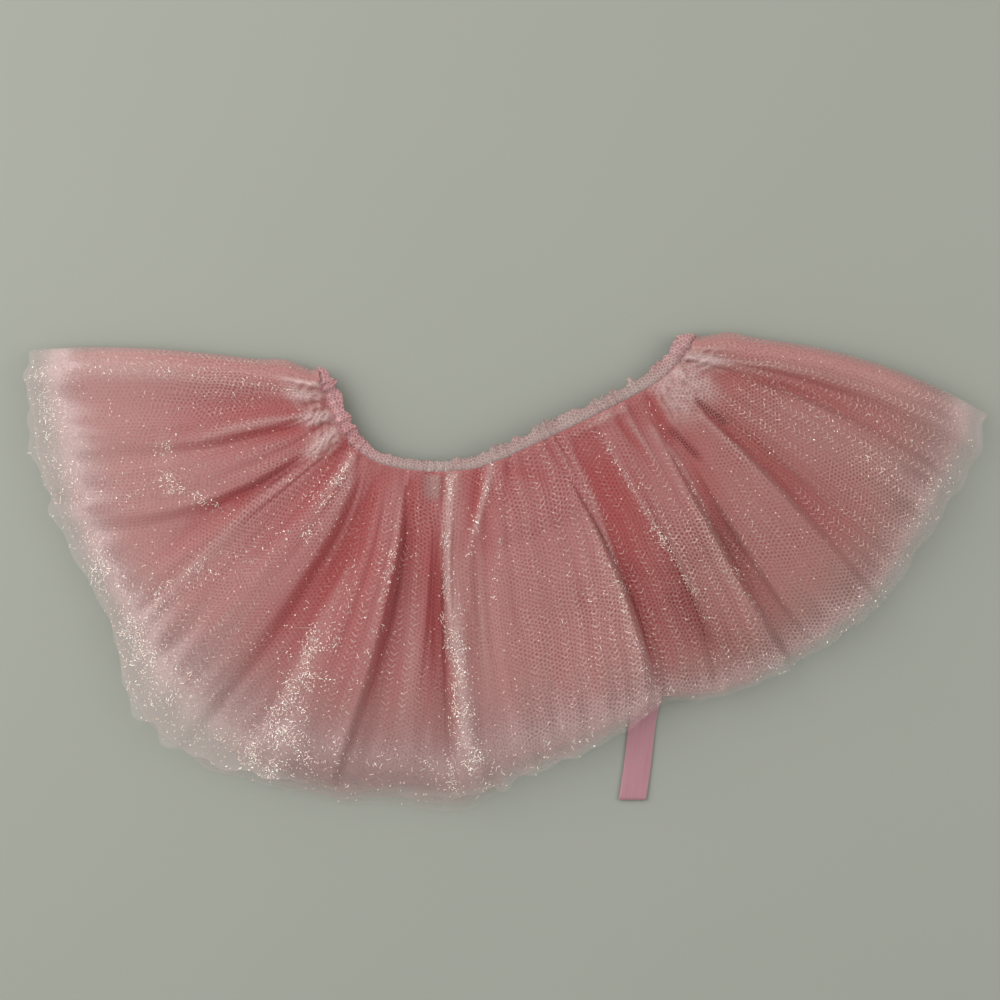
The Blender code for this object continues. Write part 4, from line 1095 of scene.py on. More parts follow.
def pink_net_material(name, pale, deep, thread_cover, hole_cover, shift):
    """Pink net: paler on its folds, deeper in the valleys and towards the waist (more layers,
    partly painted shade), paler on the lit left and at the hem (painted light).
    """
    material, bench, shader = new_material(
        name, Roughness=0.62, Sheen_Weight=0.3, Sheen_Roughness=0.5, Specular_IOR_Level=0.3)
    _, u, v = thread_places(bench)
    threads = net_mask(bench, u + shift, v + shift * 0.6, NET_PITCH, 0.6, 1.6)
    patch = object_noise(bench, 55.0, 3.0)
    # The deeper pink of valleys and creases is partly painted shade.
    blush = bench.clamped(bench.value_of("blush") + (patch - 0.5) * 0.25)
    body = bench.mixed(blush, pale, deep)
    body = bench.mixed(threads * 0.16, body, pale)
    # Painted light: mixed towards pale pink on the lit left wing.
    body = bench.mixed(bench.value_of("lit") * 0.42, body, colour(240, 178, 174))
    hem = bench.value_of("hem")
    # Paler towards the hem: painted light that lifts the shade under the thinning net.
    body = bench.mixed(hem * 0.6, body, colour(243, 203, 198))
    cover = threads * (thread_cover - hole_cover) + hole_cover
    join(bench, shader, Base_Color=body,
         Alpha=cover * (1.0 - hem * 0.84) * (1.0 - bench.value_of("sheer") * 0.5))
    return material


def casing_net_material():
    """The pale net of the casing, folded double and drawn up."""
    material, bench, shader = new_material(
        "casing_net", Roughness=0.55, Sheen_Weight=0.3, Sheen_Roughness=0.5)
    _, u, v = thread_places(bench)
    drawn = object_noise(bench, 210.0, 1.0)
    threads = net_mask(bench, u + drawn * 3.4, v - drawn * 2.6, 1.3, 0.4, 1.6)
    patch = bench.clamped(object_noise(bench, 120.0, 3.0) * 3.0 - 1.0)
    # On the casing this value only marks its pink ends, where the skirt's net bunches over it.
    blush = bench.value_of("blush")
    hole = bench.mixed(patch, colour(174, 128, 123), colour(180, 148, 141))
    yarn = bench.mixed(patch, colour(216, 178, 173), colour(224, 196, 190))
    body = bench.mixed(threads * 0.5 + 0.3, hole, yarn)
    ends = bench.mixed(threads * 0.5 + patch * 0.35, colour(198, 128, 130),
                       colour(238, 186, 186))
    body = bench.mixed(blush, body, ends)
    join(bench, shader, Base_Color=body,
         Alpha=(threads * 0.24 + 0.42 + blush * 0.3) * (1.0 - bench.value_of("hem")))
    return material


def elastic_material():
    """Knitted elastic: fine ribs along it, crossed by its weft."""
    material, bench, shader = new_material("elastic_knit", Roughness=0.8)
    x, y, _ = object_places(bench)
    ribs = bench.math("SINE", (x * 0.42 - y) * 7800.0)
    weft = bench.math("SINE", (x + y * 0.42) * 5200.0)
    knit = bench.clamped(ribs * 0.3 + weft * 0.2 + 0.5)
    body = bench.mixed(knit, colour(188, 166, 161), colour(234, 211, 206))
    bump = bench.wire("ShaderNodeBump", None, {
        "Strength": 0.5, "Distance": 0.0001, "Height": knit})
    join(bench, shader, Base_Color=body, Normal=bump)
    return material


def satin_material():
    """Pink satin ribbon: fine weft, long soft streaks that set its roughness and are lighter as
    painted sheen, and a firmer woven edge.
    """
    material, bench, shader = new_material(
        "satin", Sheen_Weight=0.2, Sheen_Roughness=0.4, Coat_Roughness=0.35)
    _, u, v = thread_places(bench)
    edge = bench.clamped((bench.math("ABSOLUTE", v) - (RIBBON_WIDTH / 2 - 0.55)) / 0.25)
    streak_place = bench.wire("ShaderNodeCombineXYZ", None, {0: u * 0.05, 1: v * 1.1})
    streak = bench.wire("ShaderNodeTexNoise", None, {
        "Vector": streak_place, "Scale": 1.0, "Detail": 3.0})
    weft = bench.math("SINE", u * 18.0) * 0.5 + 0.5
    warp = bench.math("SINE", v * 21.0) * 0.5 + 0.5
    # The lighter streaks are painted sheen.
    body = bench.mixed(streak, colour(184, 124, 134), colour(204, 150, 158))
    body = bench.mixed(weft * 0.10, body, colour(168, 102, 116))
    body = bench.mixed(edge * 0.5, body, colour(212, 160, 166))
    bump = bench.wire("ShaderNodeBump", None, {
        "Strength": 0.35, "Distance": 0.00012, "Height": weft * 0.6 + warp * 0.25 + edge})
    join(bench, shader, Base_Color=body, Normal=bump, Roughness=streak * 0.16 + 0.30)
    return material


def glitter_material():
    """Cut film: white, pink, gold and green by the flake; flakes picked by chance are whiter and
    glow as painted glints.
    """
    material, bench, shader = new_material(
        "glitter_flake", Roughness=0.25, Emission_Strength=0.55)
    tint = bench.value_of("tint")
    film = bench.wire("ShaderNodeValToRGB", {"stops": (
        (0.0, colour(252, 226, 222)[:3]), (0.3, colour(255, 248, 240)[:3]),
        (0.55, colour(255, 232, 208)[:3]), (0.8, colour(220, 240, 222)[:3]),
        (1.0, colour(255, 250, 244)[:3]))}, {0: tint})
    # Painted glints: flakes picked by chance are whiter and glow.
    gleam = bench.value_of("gleam")
    body = bench.mixed(gleam * 0.8 + 0.2, colour(218, 190, 184), film)
    glow = bench.mixed(gleam, (0.0, 0.0, 0.0, 1.0), film)
    join(bench, shader, Base_Color=body, Emission_Color=glow, Metallic=tint * 0.3 + 0.1)
    return material


def stitch_material():
    """Sewing thread, two plies twisted."""
    material, bench, shader = new_material("sewing_thread", Roughness=0.7)
    x, y, _ = object_places(bench)
    twist = bench.math("SINE", (x + y) * 9000.0)
    body = bench.mixed(twist * 0.5 + 0.5, colour(112, 80, 80), colour(158, 120, 116))
    join(bench, shader, Base_Color=body)
    return material


def table_material():
    """A plain pale surface with the faintest unevenness."""
    material, bench, shader = new_material("plain_surface", Roughness=0.6, Specular_IOR_Level=0.25)
    patch = object_noise(bench, 6.0, 2.0)
    body = bench.mixed(patch, colour(170, 171, 160), colour(174, 175, 165))
    join(bench, shader, Base_Color=body)
    return material


# ---------------------------------------------------------------- the three rings of net

def glitter_share(points, heights, share):
    """How dense the glitter is at each point: hem, bands along folds, slopes to the left."""
    dense = marked(points, GLITTER_BANDS, 2)
    around = np.gradient(points, axis=1)
    along = np.gradient(points, axis=0)
    normal = unit(np.cross(along, around))
    left_side = np.clip((60.0 - points[..., 0]) / 200.0, 0.15, 1.0)
    hem = (ease((share - 0.84) / 0.08) * (1 - 0.5 * ease((share - 0.94) / 0.05))
           * (0.3 + 0.5 * left_side))
    # Slopes that face the window on the left get more glitter, to paint glints where light falls.
    facing_left = np.clip(-normal[..., 0] * 1.3 - 0.25, 0, 1) * 0.5
    crest = np.clip(heights / 5.0 - 0.5, 0, 1) * 0.16
    wide = 0.10 * left_side
    return np.clip(dense * 0.9 + hem * 0.6 + facing_left * 0.7 + crest + wide, 0, 1)


def make_ring(name, level, which, material):
    """One ring of net as a thin shell, with its values for colour and glitter."""
    grid, heights, depths, places, upper_count = skirt_grid(level, which)
    rows, columns = grid.shape[:2]
    tucked = [0] * len(TUCK_ROWS)
    share = np.concatenate([tucked, SKIRT_SHARES])[:, None] * np.ones((1, columns))
    left, right, down_left, down_right = net_threads(grid, places, upper_count)
    folded = np.clip(heights / (0.9 + 3.9 * ease(share / 0.4)), 0, 1)
    # Painted light: the left side, where the window's light falls, is paler pink and whiter.
    left_lit = np.clip((-70.0 - grid[..., 0]) / 80.0, 0, 1)
    right_side = ease(grid[..., 0] / 120.0)
    # Deeper pink in valleys, troughs, towards the waist and in the middle left: partly the pink
    # layers seen through the net, partly painted shade; raised creases paler, painted highlight.
    blush = ((0.43 + 0.27 * (1 - folded) + 0.07 * right_side) * (1 - 0.55 * share ** 1.5)
             * (1 - 0.3 * left_lit))
    blush += 0.36 * np.maximum(depths, 0) + 0.5 * np.minimum(depths, 0)
    # Painted shade: slopes turned away from the window are made deeper pink and less white.
    normal = unit(np.cross(np.gradient(grid, axis=0), np.gradient(grid, axis=1)))
    away = np.clip((0.54 - normal @ unit(WINDOW_WAY)) / 0.35, 0, 1)
    away[:, upper_count:] = 0
    away *= 1 - 0.6 * ease((share - 0.5) / 0.35)
    blush += 0.28 * away
    mid_left = np.exp(-((grid[..., 0] + 55.0) / 32.0) ** 2) * ease((share - 0.15) / 0.2)
    blush += 0.15 * mid_left * (1 - ease((share - 0.75) / 0.2))
    wander = (0.026 * np.sin(places * 0.43 + 2.0 * np.sin(places * 0.17))
              + 0.018 * np.sin(places * 1.13 + 1.4 * np.sin(places * 0.31)))[None, :]
    fade_from = 0.66 + 0.19 * left_lit + wander
    hem = ease((share - 0.86) / 0.12) if level == 0 else ease((share - fade_from) / (1 - fade_from))
    values = {"blush": np.clip(blush, 0, 1), "hem": hem}
    if level > 0:
        # Painted light: the pink nets are paler on the left wing, where the window's light falls.
        values["lit"] = ease((-100.0 - grid[..., 0]) / 50.0)
        far = distance_to_route(grid[..., :2].reshape(-1, 2), SHEER_ROUTE).reshape(grid.shape[:2])
        values["sheer"] = np.exp(-(far / 8.0) ** 2) * (np.arange(columns) < upper_count)[None, :]
    if level == 0:
        dense = glitter_share(grid, heights, share)
        dense[:, upper_count:] *= 0.5
        values["glitter"] = dense
        # Whitening of the clear net: partly its denser threads and glitter, partly painted light on
        # the lit left, at the hem and on raised creases, less on slopes turned from the window.
        values["frost"] = np.clip(0.14 * left_lit + 0.3 * dense
                                  - 0.35 * np.maximum(depths, 0) - 0.5 * np.minimum(depths, 0)
                                  + (0.44 + 0.30 * left_lit) * ease((share + wander - 0.77) / 0.14)
                                  + 0.3 * ease((share - 0.86) / 0.1)
                                  - 0.35 * away - 0.15 * mid_left, 0, 1)
        values["zigzag"] = marked(grid, ZIGZAG_BANDS, 4)
        values["open"] = np.clip(0.36 + 0.40 * ease((grid[..., 0] + 70.0) / 150.0)
                                 + 0.25 * ease((grid[..., 0] - 50.0) / 30.0)
                                 + 0.6 * np.exp(-((grid[..., 0] + 29.0) / 5.0) ** 2)
                                 + 0.95 * np.exp(-((share - 0.30) / 0.17) ** 2)
                                 * (1 - 0.8 * blush), 0, 1.5)
        # The turned sides: denser and paler net, partly its threads seen on edge, partly painted
        # light where they face away from the window.
        edge = 1 - ease(np.minimum(places - STATIONS[0], STATIONS[-1] - places) / 8.0)
        values["open"] = values["open"] * (1 - 0.6 * edge)
        values["edge"] = edge * (1 - 0.8 * ease((share - 0.62) / 0.3))
        values["frost"] = np.clip(values["frost"] + 0.32 * edge * ease((share - 0.3) / 0.4), 0, 1)
        # Painted shade on the net's right side, less where it is whitened.
        values["dusk"] = ease((grid[..., 0] - 15.0) / 80.0) * (1 - values["frost"])
        values["stretched"] = marked(grid, STRETCHED_HOLES, 4)
        values["stretched"][:, upper_count:] = 0
    return make_piece(name, grid, ring_faces(rows, columns).tolist(), material,
                      ring_corners(left, right, down_left, down_right), values)


# ---------------------------------------------------------------- the waist

def waist_ring(step):
    """Frames round the flattened waist ring, with the run of cloth and which side it is."""
    radius = CASING_SPREAD / 2
    centre_z = CASING_WALL + SEAM_GAP + ELASTIC_THICKNESS / 2 + radius
    up = np.array([0.0, 0.0, 1.0])
    fine = np.linspace(STATIONS[0], STATIONS[-1], 500)
    run = waist_run(fine)
    frames = []
    walked = 0.0
    for sign, gap in ((1, step), (-1, step * 2)):
        count = int(run[-1] / gap)
        stations = np.interp(np.linspace(0, run[-1], count), run, fine)[::sign]
        edge, along, down = waist_frame(stations)
        lift = ribbon_lift(edge)
        for i in range(count):
            place = np.array([*edge[i], centre_z + lift[i] + sign * radius])
            frames.append((place, np.array([*down[i], 0.0]), sign * up, walked, sign))
            walked += run[-1] / count
        outward = sign * np.array([*along[-1], 0.0])
        facing = np.array([*down[-1], 0.0])
        centre = np.array([*edge[-1], centre_z + lift[-1]])
        for angle in np.radians(np.linspace(80, -80, 15)):
            out = outward * math.cos(angle) + sign * up * math.sin(angle)
            frames.append((centre + out * radius, facing, out, walked, sign))
            walked += radius * math.pi / 15
    return frames


def make_casing(material):
    """The casing: net folded over its elastic, drawn up into ruches, with a small frill."""
    frames = waist_ring(CASING_COLUMN_STEP)
    points = []
    tints = []
    for place, down, out, run, sign in frames:
        wave = float(gather_waves(np.array([run]), CASING_PITCH)[0])
        small = math.sin(run * 3.9 + 2.0 * math.sin(run / 2.3)) * 0.3
        tuft = max(0.0, math.sin(run / 2.7 + 1.9 * math.sin(run / 5.1))) ** 3
        open_side = ease((place[0] + 22.0) / 26.0)
        if sign > 0:
            tuft += sum(size * math.exp(-((place[0] - x) / 1.3) ** 2) for x, size in TUFTS)
        bunch = 1 - ease((place[0] + 58.0) / 12.0) * ease((66.0 - place[0]) / 20.0)
        lump = 0.5 + 0.5 * math.sin(run / 0.95 + 1.6 * math.sin(run / 2.9))
        frill = (0.05 + 0.4 * open_side + (0.5 + 0.6 * open_side) * tuft + 0.25 * wave
                 + bunch * (0.5 + 1.1 * lump) * (1 if sign > 0 else 0.3))
        slim = 0.62 + 0.2 * open_side + bunch * (0.45 + 0.35 * wave + 0.45 * lump)
        tapered = ease((place[0] - 60.0) / 7.0)
        frill *= 1 - 0.75 * tapered
        slim *= 1 - 0.25 * tapered
        small += (0.9 * bunch * math.sin(run / 1.3 + 1.1 * math.sin(run / 3.3))
                  + 0.5 * (tuft - 0.4))
        tints.append(1 - ease((place[0] + 56.0) / 22.0) * ease((68.0 - place[0]) / 22.0))
        lowered = 1 - ease((place[0] + 62.5) / 6.0) * ease((65.5 - place[0]) / 6.0)
        row = []
        for reach, rise, swing in CASING_PROFILE:
            if reach < 0.3:
                reach = 0.3 + (reach - 0.3) * frill
            sunk = 0.9 * lowered * (1 if reach < 3.0 else 0)
            ruched = 0.42 * (wave + small) * swing * (1 if rise > 0 else 0.4)
            row.append(place + down * (reach + sunk + 0.3 * wave * swing)
                       + out * (rise * slim + ruched))
        points.append(row)
    grid = np.array(points).transpose(1, 0, 2)
    grid[..., 2] = np.maximum(grid[..., 2], 0.05)
    rows, columns = grid.shape[:2]
    closed = np.concatenate([grid, grid[:, :1]], axis=1)
    around = np.linalg.norm(np.diff(closed, axis=1), axis=2).mean(axis=0)
    around = np.concatenate([[0.0], np.cumsum(around)])[None, :] * np.ones((rows, 1))
    down = np.linalg.norm(np.diff(grid, axis=0), axis=2).mean(axis=1)
    down = np.concatenate([[0.0], np.cumsum(down)])[:, None] * np.ones((1, columns))
    faces = ring_faces(rows, columns)[:, ::-1]
    corners = ring_corners(around[:, :-1], around[:, 1:], down, down).reshape(-1, 4, 2)[:, ::-1]
    blush = np.array(tints)[None, :] * np.ones((rows, 1))
    return make_piece("waist_casing_cloth", grid, faces.tolist(), material, corners.reshape(-1, 2),
                      {"blush": blush, "hem": blush * 0})


def make_seam_allowance(material):
    """The cut end of the casing's net, lying just under the outer net below the casing."""
    shares = np.linspace(0.0, 0.11, 15)
    columns = np.linspace(station_at(16.55), station_at(18.2), 15)
    shell, _, _, every = upper_panel(0, "glitter", shares)
    rows = []
    for row in shell:
        place = np.column_stack([np.interp(columns, every, row[:, i]) for i in range(3)])
        rows.append(place - np.array([0, 0, 0.45]))
    grid = np.array(rows)
    grid[-1, :, 1] += 0.5 * np.sin(np.arange(15) * 1.1)
    v, u = np.meshgrid(np.linspace(0, 11, 15), np.linspace(0, 9, 15), indexing="ij")
    to_end = np.arange(14, -1, -1)
    inside = ease(np.minimum(np.arange(15), to_end) / 4.0)
    fade = 1 - inside[None, :] * ease(np.minimum(to_end / 6.0, 1.0))[:, None] * 0.9
    corners = quad_corners((u[:-1, :-1], v[:-1, :-1]), (u[1:, :-1], v[1:, :-1]),
                           (u[1:, 1:], v[1:, 1:]), (u[:-1, 1:], v[:-1, 1:])).reshape(-1, 2)
    return make_piece("casing_seam_allowance", grid, strip_faces(15, 15).tolist(), material,
                      corners, {"blush": np.zeros((15, 15)), "hem": fade})


# ---------------------------------------------------------------- the satin bow

def smooth_route(points, step=1.2):
    """A rounded line through a route's points, about a step apart."""
    points = np.array(points, float)
    run = length_along(points)
    wanted = np.linspace(0, run[-1], max(8, int(run[-1] / step)))
    line = np.column_stack([smooth_through(run, place, wanted) for place in points.T])
    for _ in range(ROUTE_SMOOTHING):
        line[1:-1] = (line[:-2] + 2 * line[1:-1] + line[2:]) / 4
    return line


def make_ribbon(name, line, sides, widths, cup, material, end_slant=0.0):
    """A ribbon with a thin wall along a line in space, turned over at its ends and edges."""
    steps = np.linspace(-1, 1, 13)
    forward = unit(np.gradient(line, axis=0))
    face = unit(np.cross(forward, sides))
    run = length_along(line)
    top = []
    for i in range(len(line)):
        half = widths[i] / 2
        near_end = max(0.0, 1 - (run[-1] - run[i]) / 3.0)
        row = [line[i] + sides[i] * half * t + face[i] * cup[i] * (0.5 - t * t)
               + forward[i] * end_slant * t * near_end for t in steps]
        top.append(row)
    top = np.array(top)
    rows, columns = top.shape[:2]
    wall = face[:, None, :] * RIBBON_CLOTH / 2
    outer, inner = top + wall, top - wall
    ring = np.concatenate([outer, inner[:, ::-1]], axis=1)
    size = 2 * columns
    faces = ring_faces(rows, size)[:, ::-1].tolist()
    faces.append(list(range(size))[::-1])
    faces.append(list(range((rows - 1) * size, rows * size)))
    across_ribbon = np.concatenate([steps, steps[::-1]])[None, :] * (np.array(widths)[:, None] / 2)
    along = run[:, None] * np.ones((1, size))
    next_across = np.roll(across_ribbon, -1, axis=1)
    corners = quad_corners((along[:-1], across_ribbon[:-1]), (along[1:], across_ribbon[1:]),
                           (along[1:], next_across[1:]), (along[:-1], next_across[:-1]))
    corners = corners[:, :, ::-1].reshape(-1, 2)
    first = np.column_stack([along[0], across_ribbon[0]])[::-1]
    last = np.column_stack([along[-1], across_ribbon[-1]])
    return make_piece(name, ring, faces, material, np.vstack([corners, first, last]))


def flat_sides(line):
    """Directions across a line that lies level, to its left."""
    run = unit(np.gradient(line[:, :2], axis=0))
    return np.column_stack([-run[:, 1], run[:, 0], np.zeros(len(line))])


def make_tail(name, route, material, waves, end_slant=0.0):
    """A ribbon tail that lies on the surface with low waves in it."""
    plan = smooth_route(route)
    run = length_along(plan)
    z = 0.5 + 0.12 * np.sin(run / 9.0 + waves) + 0.06 * np.sin(run / 3.1)
    widths = RIBBON_WIDTH * (0.7 + 0.3 * ease(run / 12.0))
    cup = 0.14 * np.sin(run / 14.0 + waves)
    line = np.column_stack([plan, z])
    return make_ribbon(name, line, flat_sides(line), widths, cup, material, end_slant)


def make_loop(name, route, material):
    """A flat loop: out along the surface, round its tip and back on top."""
    plan = smooth_route(route, 1.0)
    low, high = 0.5, LOOP_HEIGHT - 0.5
    ahead = unit(plan[-1] - plan[-2])
    tip = [(*(plan[-1] + ahead * (high - low) / 2 * math.cos(turn)),
            (low + high) / 2 + (high - low) / 2 * math.sin(turn))
           for turn in np.radians(np.linspace(-60, 60, 7))]
    line = np.array([(x, y, low) for x, y in plan] + tip + [(x, y, high) for x, y in plan[::-1]])
    plan_run = plan[-1] - plan[0]
    side = unit(np.array([-plan_run[1], plan_run[0], 0.0]))
    count = len(line)
    share = np.minimum(np.arange(count), np.arange(count)[::-1]) / (count / 2)
    widths = RIBBON_WIDTH * (0.6 + 0.4 * ease(share / 0.5))
    cup = 0.12 * np.sin(np.linspace(0, 3 * math.pi, count))
    return make_ribbon(name, line, np.tile(side, (count, 1)), widths, cup, material)


def make_knot(material):
    """The ribbon wrapped round the middle of the bow, with three soft tucks."""
    along = np.array([math.cos(KNOT_TURN), math.sin(KNOT_TURN), 0.0])
    down = np.array([along[1], -along[0], 0.0])
    middle = np.array([*KNOT_CENTRE, KNOT_HEIGHT / 2])
    rows = []
    for t in np.linspace(-1, 1, 17):
        pinch = 1 - 0.10 * math.cos(t * 7.5) - 0.18 * abs(t) ** 6
        row = []
        for turn in np.linspace(0, 2 * math.pi, 40, endpoint=False):
            c, s = math.cos(turn), math.sin(turn)
            wide = math.copysign(abs(c) ** 0.45, c) * KNOT_WIDTH / 2 * 0.97
            high = math.copysign(abs(s) ** 0.55, s) * KNOT_HEIGHT / 2 * pinch
            row.append(middle + along * t * KNOT_LENGTH / 2 * 0.97 + down * wide
                       + np.array([0, 0, high]))
        rows.append(row)
    grid = np.array(rows)
    count, size = grid.shape[:2]
    faces = ring_faces(count, size).tolist()
    faces.append(list(range(size)))
    faces.append(list(range((count - 1) * size, count * size))[::-1])
    step = 0.6
    u = (np.arange(size) * step)[None, :] * np.ones((count, 1))
    v = np.linspace(-RIBBON_WIDTH / 2, RIBBON_WIDTH / 2, count)[:, None] * np.ones((1, size))
    corners = quad_corners((u[:-1], v[:-1]), (u[1:], v[1:]), (u[1:] + step, v[1:]),
                           (u[:-1] + step, v[:-1])).reshape(-1, 2)
    ends = np.column_stack([u[0], v[0]])
    return make_piece("bow_knot_satin", grid, faces, material, np.vstack([corners, ends, ends]))


# ---------------------------------------------------------------- scattered and stitched things

def new_tree(name, source, sizes, result):
    """A geometry tree from a source to a result, with its bench and its named inputs."""
    tree = bpy.data.node_groups.new(name, "GeometryNodeTree")
    sockets = [(source, "Geometry"), *((label, "Float") for label in sizes),
               ("Seed", "Int"), ("Finish", "Material")]
    for label, kind in sockets:
        tree.interface.new_socket(label, in_out="INPUT", socket_type="NodeSocket" + kind)
    tree.interface.new_socket(result, in_out="OUTPUT", socket_type="NodeSocketGeometry")
    bench = Bench(tree)
    given = bench.node("NodeGroupInput").outputs
    return tree, bench, {socket.name: Wire(bench, socket) for socket in given if socket.name}


def finish_tree(bench, placed, finish):
    """Make the instances real, give them their material and hand them on."""
    real = bench.wire("GeometryNodeRealizeInstances", None, {"Geometry": placed})
    done = bench.wire("GeometryNodeSetMaterial", None, {"Geometry": real, "Material": finish})
    bench.node("NodeGroupOutput", None, {0: done})


def chance(bench, low, high, seed):
    """A number by chance for each point or instance."""
    return bench.wire("FunctionNodeRandomValue", {"data_type": "FLOAT"},
                      {2: low, 3: high, "Seed": seed}, 1)


def chances(bench, low, high, seed):
    """Three numbers by chance for each point or instance."""
    return bench.wire("FunctionNodeRandomValue", {"data_type": "FLOAT_VECTOR"},
                      {0: low, 1: high, "Seed": seed})


def turned_by(bench, rotation, turn):
    """A rotation turned further by three angles of its own."""
    return bench.wire("FunctionNodeRotateRotation", {"rotation_space": "LOCAL"}, {
        0: rotation, 1: bench.wire("FunctionNodeEulerToRotation", None, {0: turn})})


def scatter_tree():
    """Geometry nodes that scatter flat flakes over a net where its glitter is dense."""
    tree, bench, inputs = new_tree(
        "scatter_glitter", "Net",
        ("Flakes a square metre", "Length", "Width", "Stand proud", "Tilt"), "Flakes")
    dense = bench.wire("GeometryNodeInputNamedAttribute", {"data_type": "FLOAT"},
                       {"Name": "glitter"})
    patch = bench.wire("ShaderNodeTexNoise", None, {"Scale": 130.0, "Detail": 2.0})
    dense = dense * bench.clamped(patch * 5.0 - 1.9)
    scatter = bench.node("GeometryNodeDistributePointsOnFaces", {"distribute_method": "RANDOM"}, {
        "Mesh": inputs["Net"], "Density": dense * dense * inputs["Flakes a square metre"],
        "Seed": inputs["Seed"]})
    normal = Wire(bench, scatter.outputs["Normal"])
    spread = chance(bench, 0.1, 1.0, 11)
    lifted = bench.wire("GeometryNodeSetPosition", None, {
        "Geometry": Wire(bench, scatter.outputs["Points"]),
        "Offset": bench.wire("ShaderNodeVectorMath", {"operation": "SCALE"}, {
            0: normal, "Scale": spread * inputs["Stand proud"]})})
    flake = bench.wire("GeometryNodeMeshGrid", None, {
        "Size X": inputs["Length"], "Size Y": inputs["Width"], "Vertices X": 2, "Vertices Y": 2})
    tilt = inputs["Tilt"]
    low = bench.wire("ShaderNodeCombineXYZ", None, {0: 0 - tilt, 1: 0 - tilt, 2: 0.0})
    high = bench.wire("ShaderNodeCombineXYZ", None, {0: tilt, 1: tilt, 2: 6.283})
    turned = turned_by(bench, Wire(bench, scatter.outputs["Rotation"]),
                       chances(bench, low, high, 12))
    size = chances(bench, (0.45, 0.6, 1.0), (1.5, 1.3, 1.0), 13)
    placed = bench.wire("GeometryNodeInstanceOnPoints", None, {
        "Points": lifted, "Instance": flake, "Rotation": turned, "Scale": size})
    # A chance per flake for its painted glint.
    gleam = chance(bench, 0.0, 1.0, 15)
    for label, number in (("tint", chance(bench, 0.0, 1.0, 14)), ("gleam", gleam * gleam)):
        placed = bench.wire("GeometryNodeStoreNamedAttribute",
                            {"data_type": "FLOAT", "domain": "INSTANCE"},
                            {"Geometry": placed, "Name": label, "Value": number})
    finish_tree(bench, placed, inputs["Finish"])
    return tree


def stitch_tree():
    """Geometry nodes that lay a row of short stitches along a line."""
    tree, bench, inputs = new_tree("lay_stitches", "Line", ("Step", "Length", "Thickness"),
                                   "Stitches")
    line = bench.wire("GeometryNodeMeshToCurve", None, {"Mesh": inputs["Line"]})
    points = bench.node("GeometryNodeCurveToPoints", {"mode": "LENGTH"}, {
        "Curve": line, "Length": inputs["Step"]})
    thread = bench.wire("GeometryNodeMeshUVSphere", None, {
        "Segments": 6, "Rings": 6, "Radius": 0.5})
    shaped = bench.wire("GeometryNodeTransform", None, {
        "Geometry": thread,
        "Scale": bench.wire("ShaderNodeCombineXYZ", None, {
            0: inputs["Thickness"], 1: inputs["Thickness"], 2: inputs["Length"]})})
    wobble = chances(bench, (-0.16, -0.16, 0.0), (0.16, 0.16, 0.0), inputs["Seed"])
    turned = turned_by(bench, Wire(bench, points.outputs["Rotation"]), wobble)
    placed = bench.wire("GeometryNodeInstanceOnPoints", None, {
        "Points": Wire(bench, points.outputs["Points"]), "Instance": shaped, "Rotation": turned})
    finish_tree(bench, placed, inputs["Finish"])
    return tree


def grown(name, source, tree, **sizes):
    """A plain mesh object made by a tree of geometry nodes from a source mesh."""
    helper = new_item(name + "_helper", source)
    modifier = helper.modifiers.new("nodes", "NODES")
    modifier.node_group = tree
    for item in tree.interface.items_tree:
        if item.in_out == "INPUT" and item.name.replace(" ", "_").lower() in sizes:
            modifier[item.identifier] = sizes[item.name.replace(" ", "_").lower()]
    graph = bpy.context.evaluated_depsgraph_get()
    mesh = bpy.data.meshes.new_from_object(helper.evaluated_get(graph))
    helper.modifiers.remove(modifier)
    bpy.data.objects.remove(helper, do_unlink=True)
    mesh.name = name
    return new_item(name, mesh)


def make_stitches(tree, material):
    """The row that holds the casing down, on the side that faces up."""
    frames = [f for f in waist_ring(1.0) if f[4] > 0][:-15]
    line = np.array([place + down * 4.15 + out * 1.22 for place, down, out, _, _ in frames])
    mesh = bpy.data.meshes.new("stitch_line")
    mesh.from_pydata(on_frame(line).tolist(), [(i, i + 1) for i in range(len(line) - 1)], [])
    return grown("casing_stitches", mesh, tree, step=STITCH_STEP * MM, length=1.7 * MM,
                 thickness=0.34 * MM, seed=5, finish=material)


# ---------------------------------------------------------------- the room

def make_room():
    """A plain surface, a lamp on each side, a soft room, and the camera straight above."""
    scene = bpy.context.scene
    mesh = bpy.data.meshes.new("plain_floor")
    corners = ((-3, -3), (3, -3), (3, 3), (-3, 3))
    mesh.from_pydata([(x, y, FLOOR_HEIGHT) for x, y in corners], [], [(0, 1, 2, 3)])
    mesh.materials.append(table_material())
    new_item("plain_floor", mesh)
    for name, place, size, power in LAMPS:
        light = bpy.data.lights.new(name, "AREA")
        light.size = size
        light.energy = power
        lamp = new_item(name, light)
        lamp.location = place
        lamp.rotation_euler = (-Vector(place)).to_track_quat("-Z", "Y").to_euler()
    world = bpy.data.worlds.new("soft_room")
    world.use_nodes = True
    background = world.node_tree.nodes["Background"]
    background.inputs["Color"].default_value = ROOM_COLOUR
    background.inputs["Strength"].default_value = ROOM_STRENGTH
    scene.world = world
    lens = bpy.data.cameras.new("camera")
    lens.lens = lens.sensor_width * CAMERA_HEIGHT / VIEW_WIDTH
    camera = new_item("camera", lens)
    aim = on_frame([VIEW_CENTRE])[0]
    camera.location = (aim[0], aim[1], CAMERA_HEIGHT)
    scene.camera = camera
    scene.view_settings.view_transform = "Standard"
    # Few bounces keep the render short.  They take some red out of the cloth, and the nets'
    # colours are redder to make up for it.
    scene.cycles.max_bounces = 3
    scene.cycles.diffuse_bounces = 1


# ---------------------------------------------------------------- the whole tutu

def settle(piece, slot, *nodes):
    """A piece rides on the one body and stands for its nodes, which it hides; its slot is not used.
    """
    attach(piece, "root")
    if nodes:
        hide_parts(*nodes)


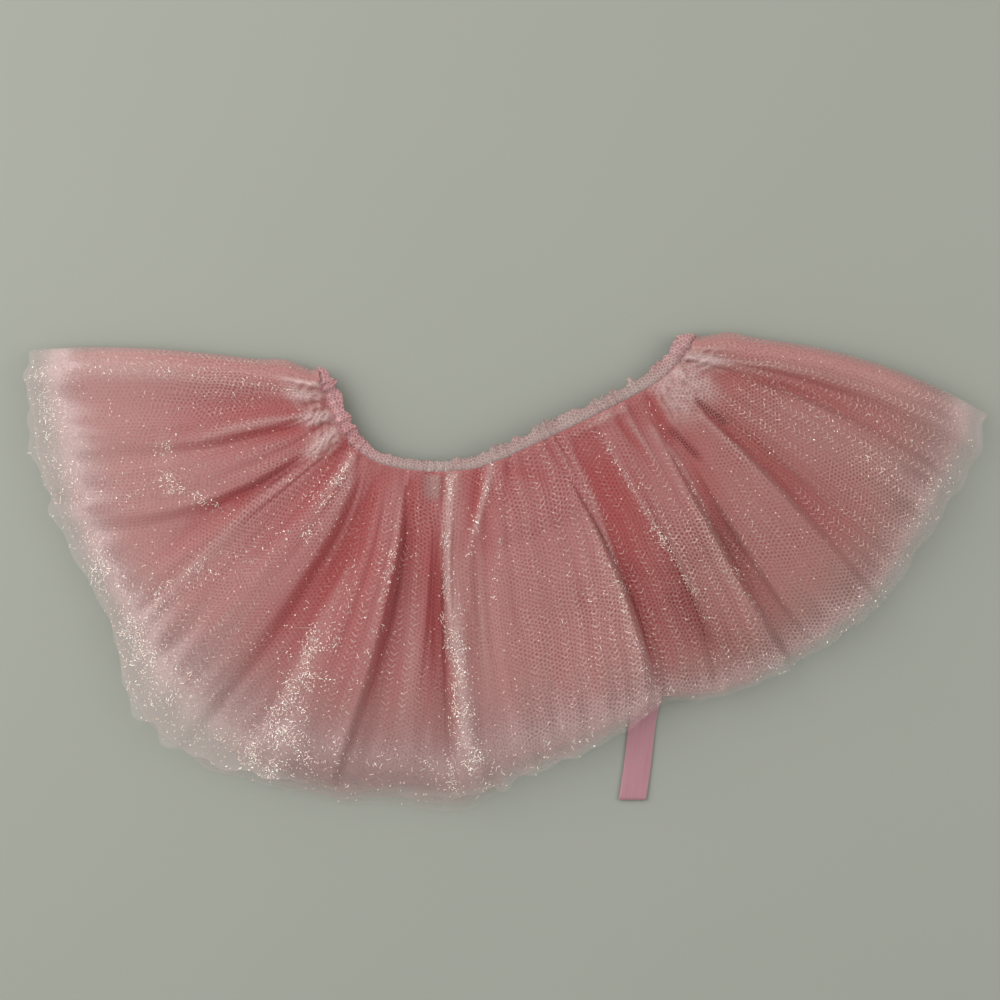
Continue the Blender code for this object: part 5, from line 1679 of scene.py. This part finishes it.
def build():
    """Every piece, in the order a maker would sew them."""
    make_room()
    glitter_net = glitter_net_material()
    pink_net = pink_net_material("pink_net", colour(219, 150, 147), colour(204, 87, 89),
                                 0.82, 0.62, 0.0)
    under_net = pink_net_material("pink_under_net", colour(212, 130, 128), colour(187, 69, 72),
                                  0.92, 0.76, 0.7)
    satin = satin_material()
    flake = glitter_material()

    outer = make_ring("glitter_skirt_net", 0, "glitter", glitter_net)
    pink = make_ring("pink_skirt_net", 1, "pink", pink_net)
    under = make_ring("pink_underskirt_net", 2, "under", under_net)
    settle(outer, "glitter_net", "glitter_skirt")
    settle(pink, "pink_net", "pink_skirt")
    settle(under, "pink_under_net", "pink_underskirt")

    casing_net = casing_net_material()
    casing = make_casing(casing_net)
    settle(casing, "casing_net", "waist_casing")
    allowance = make_seam_allowance(casing_net)
    settle(allowance, "casing_net")
    stitches = make_stitches(stitch_tree(), stitch_material())
    settle(stitches, "casing_net")
    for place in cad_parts["waist_elastic"].material_slots:
        place.material = elastic_material()

    tails = (("long_tail_satin", LONG_TAIL_ROUTE, "ribbon_tail_long", 0.4, -0.7),
             ("short_tail_satin", SHORT_TAIL_ROUTE, "ribbon_tail_short", 2.0, 0.5))
    loops = (("left_loop_satin", LEFT_LOOP_ROUTE, "bow_loop_left"),
             ("right_loop_satin", RIGHT_LOOP_ROUTE, "bow_loop_right"))
    for name, route, node, waves, slant in tails:
        piece = make_tail(name, route, satin, waves, slant)
        settle(piece, "satin", node)
    for name, route, node in loops:
        piece = make_loop(name, route, satin)
        settle(piece, "satin", node)
    knot = make_knot(satin)
    settle(knot, "satin", "bow_knot")

    scatter = scatter_tree()
    flakes = grown("glitter_flakes", outer.data, scatter, flakes_a_square_metre=1400000.0,
                   length=0.50 * MM, width=0.28 * MM, stand_proud=0.35 * MM, tilt=0.55, seed=3,
                   finish=flake)
    fibres = grown("glitter_fibres", outer.data, scatter, flakes_a_square_metre=800000.0,
                   length=1.3 * MM, width=0.13 * MM, stand_proud=0.4 * MM, tilt=0.3, seed=8,
                   finish=flake)
    settle(flakes, "glitter_net")
    settle(fibres, "glitter_net")


build()
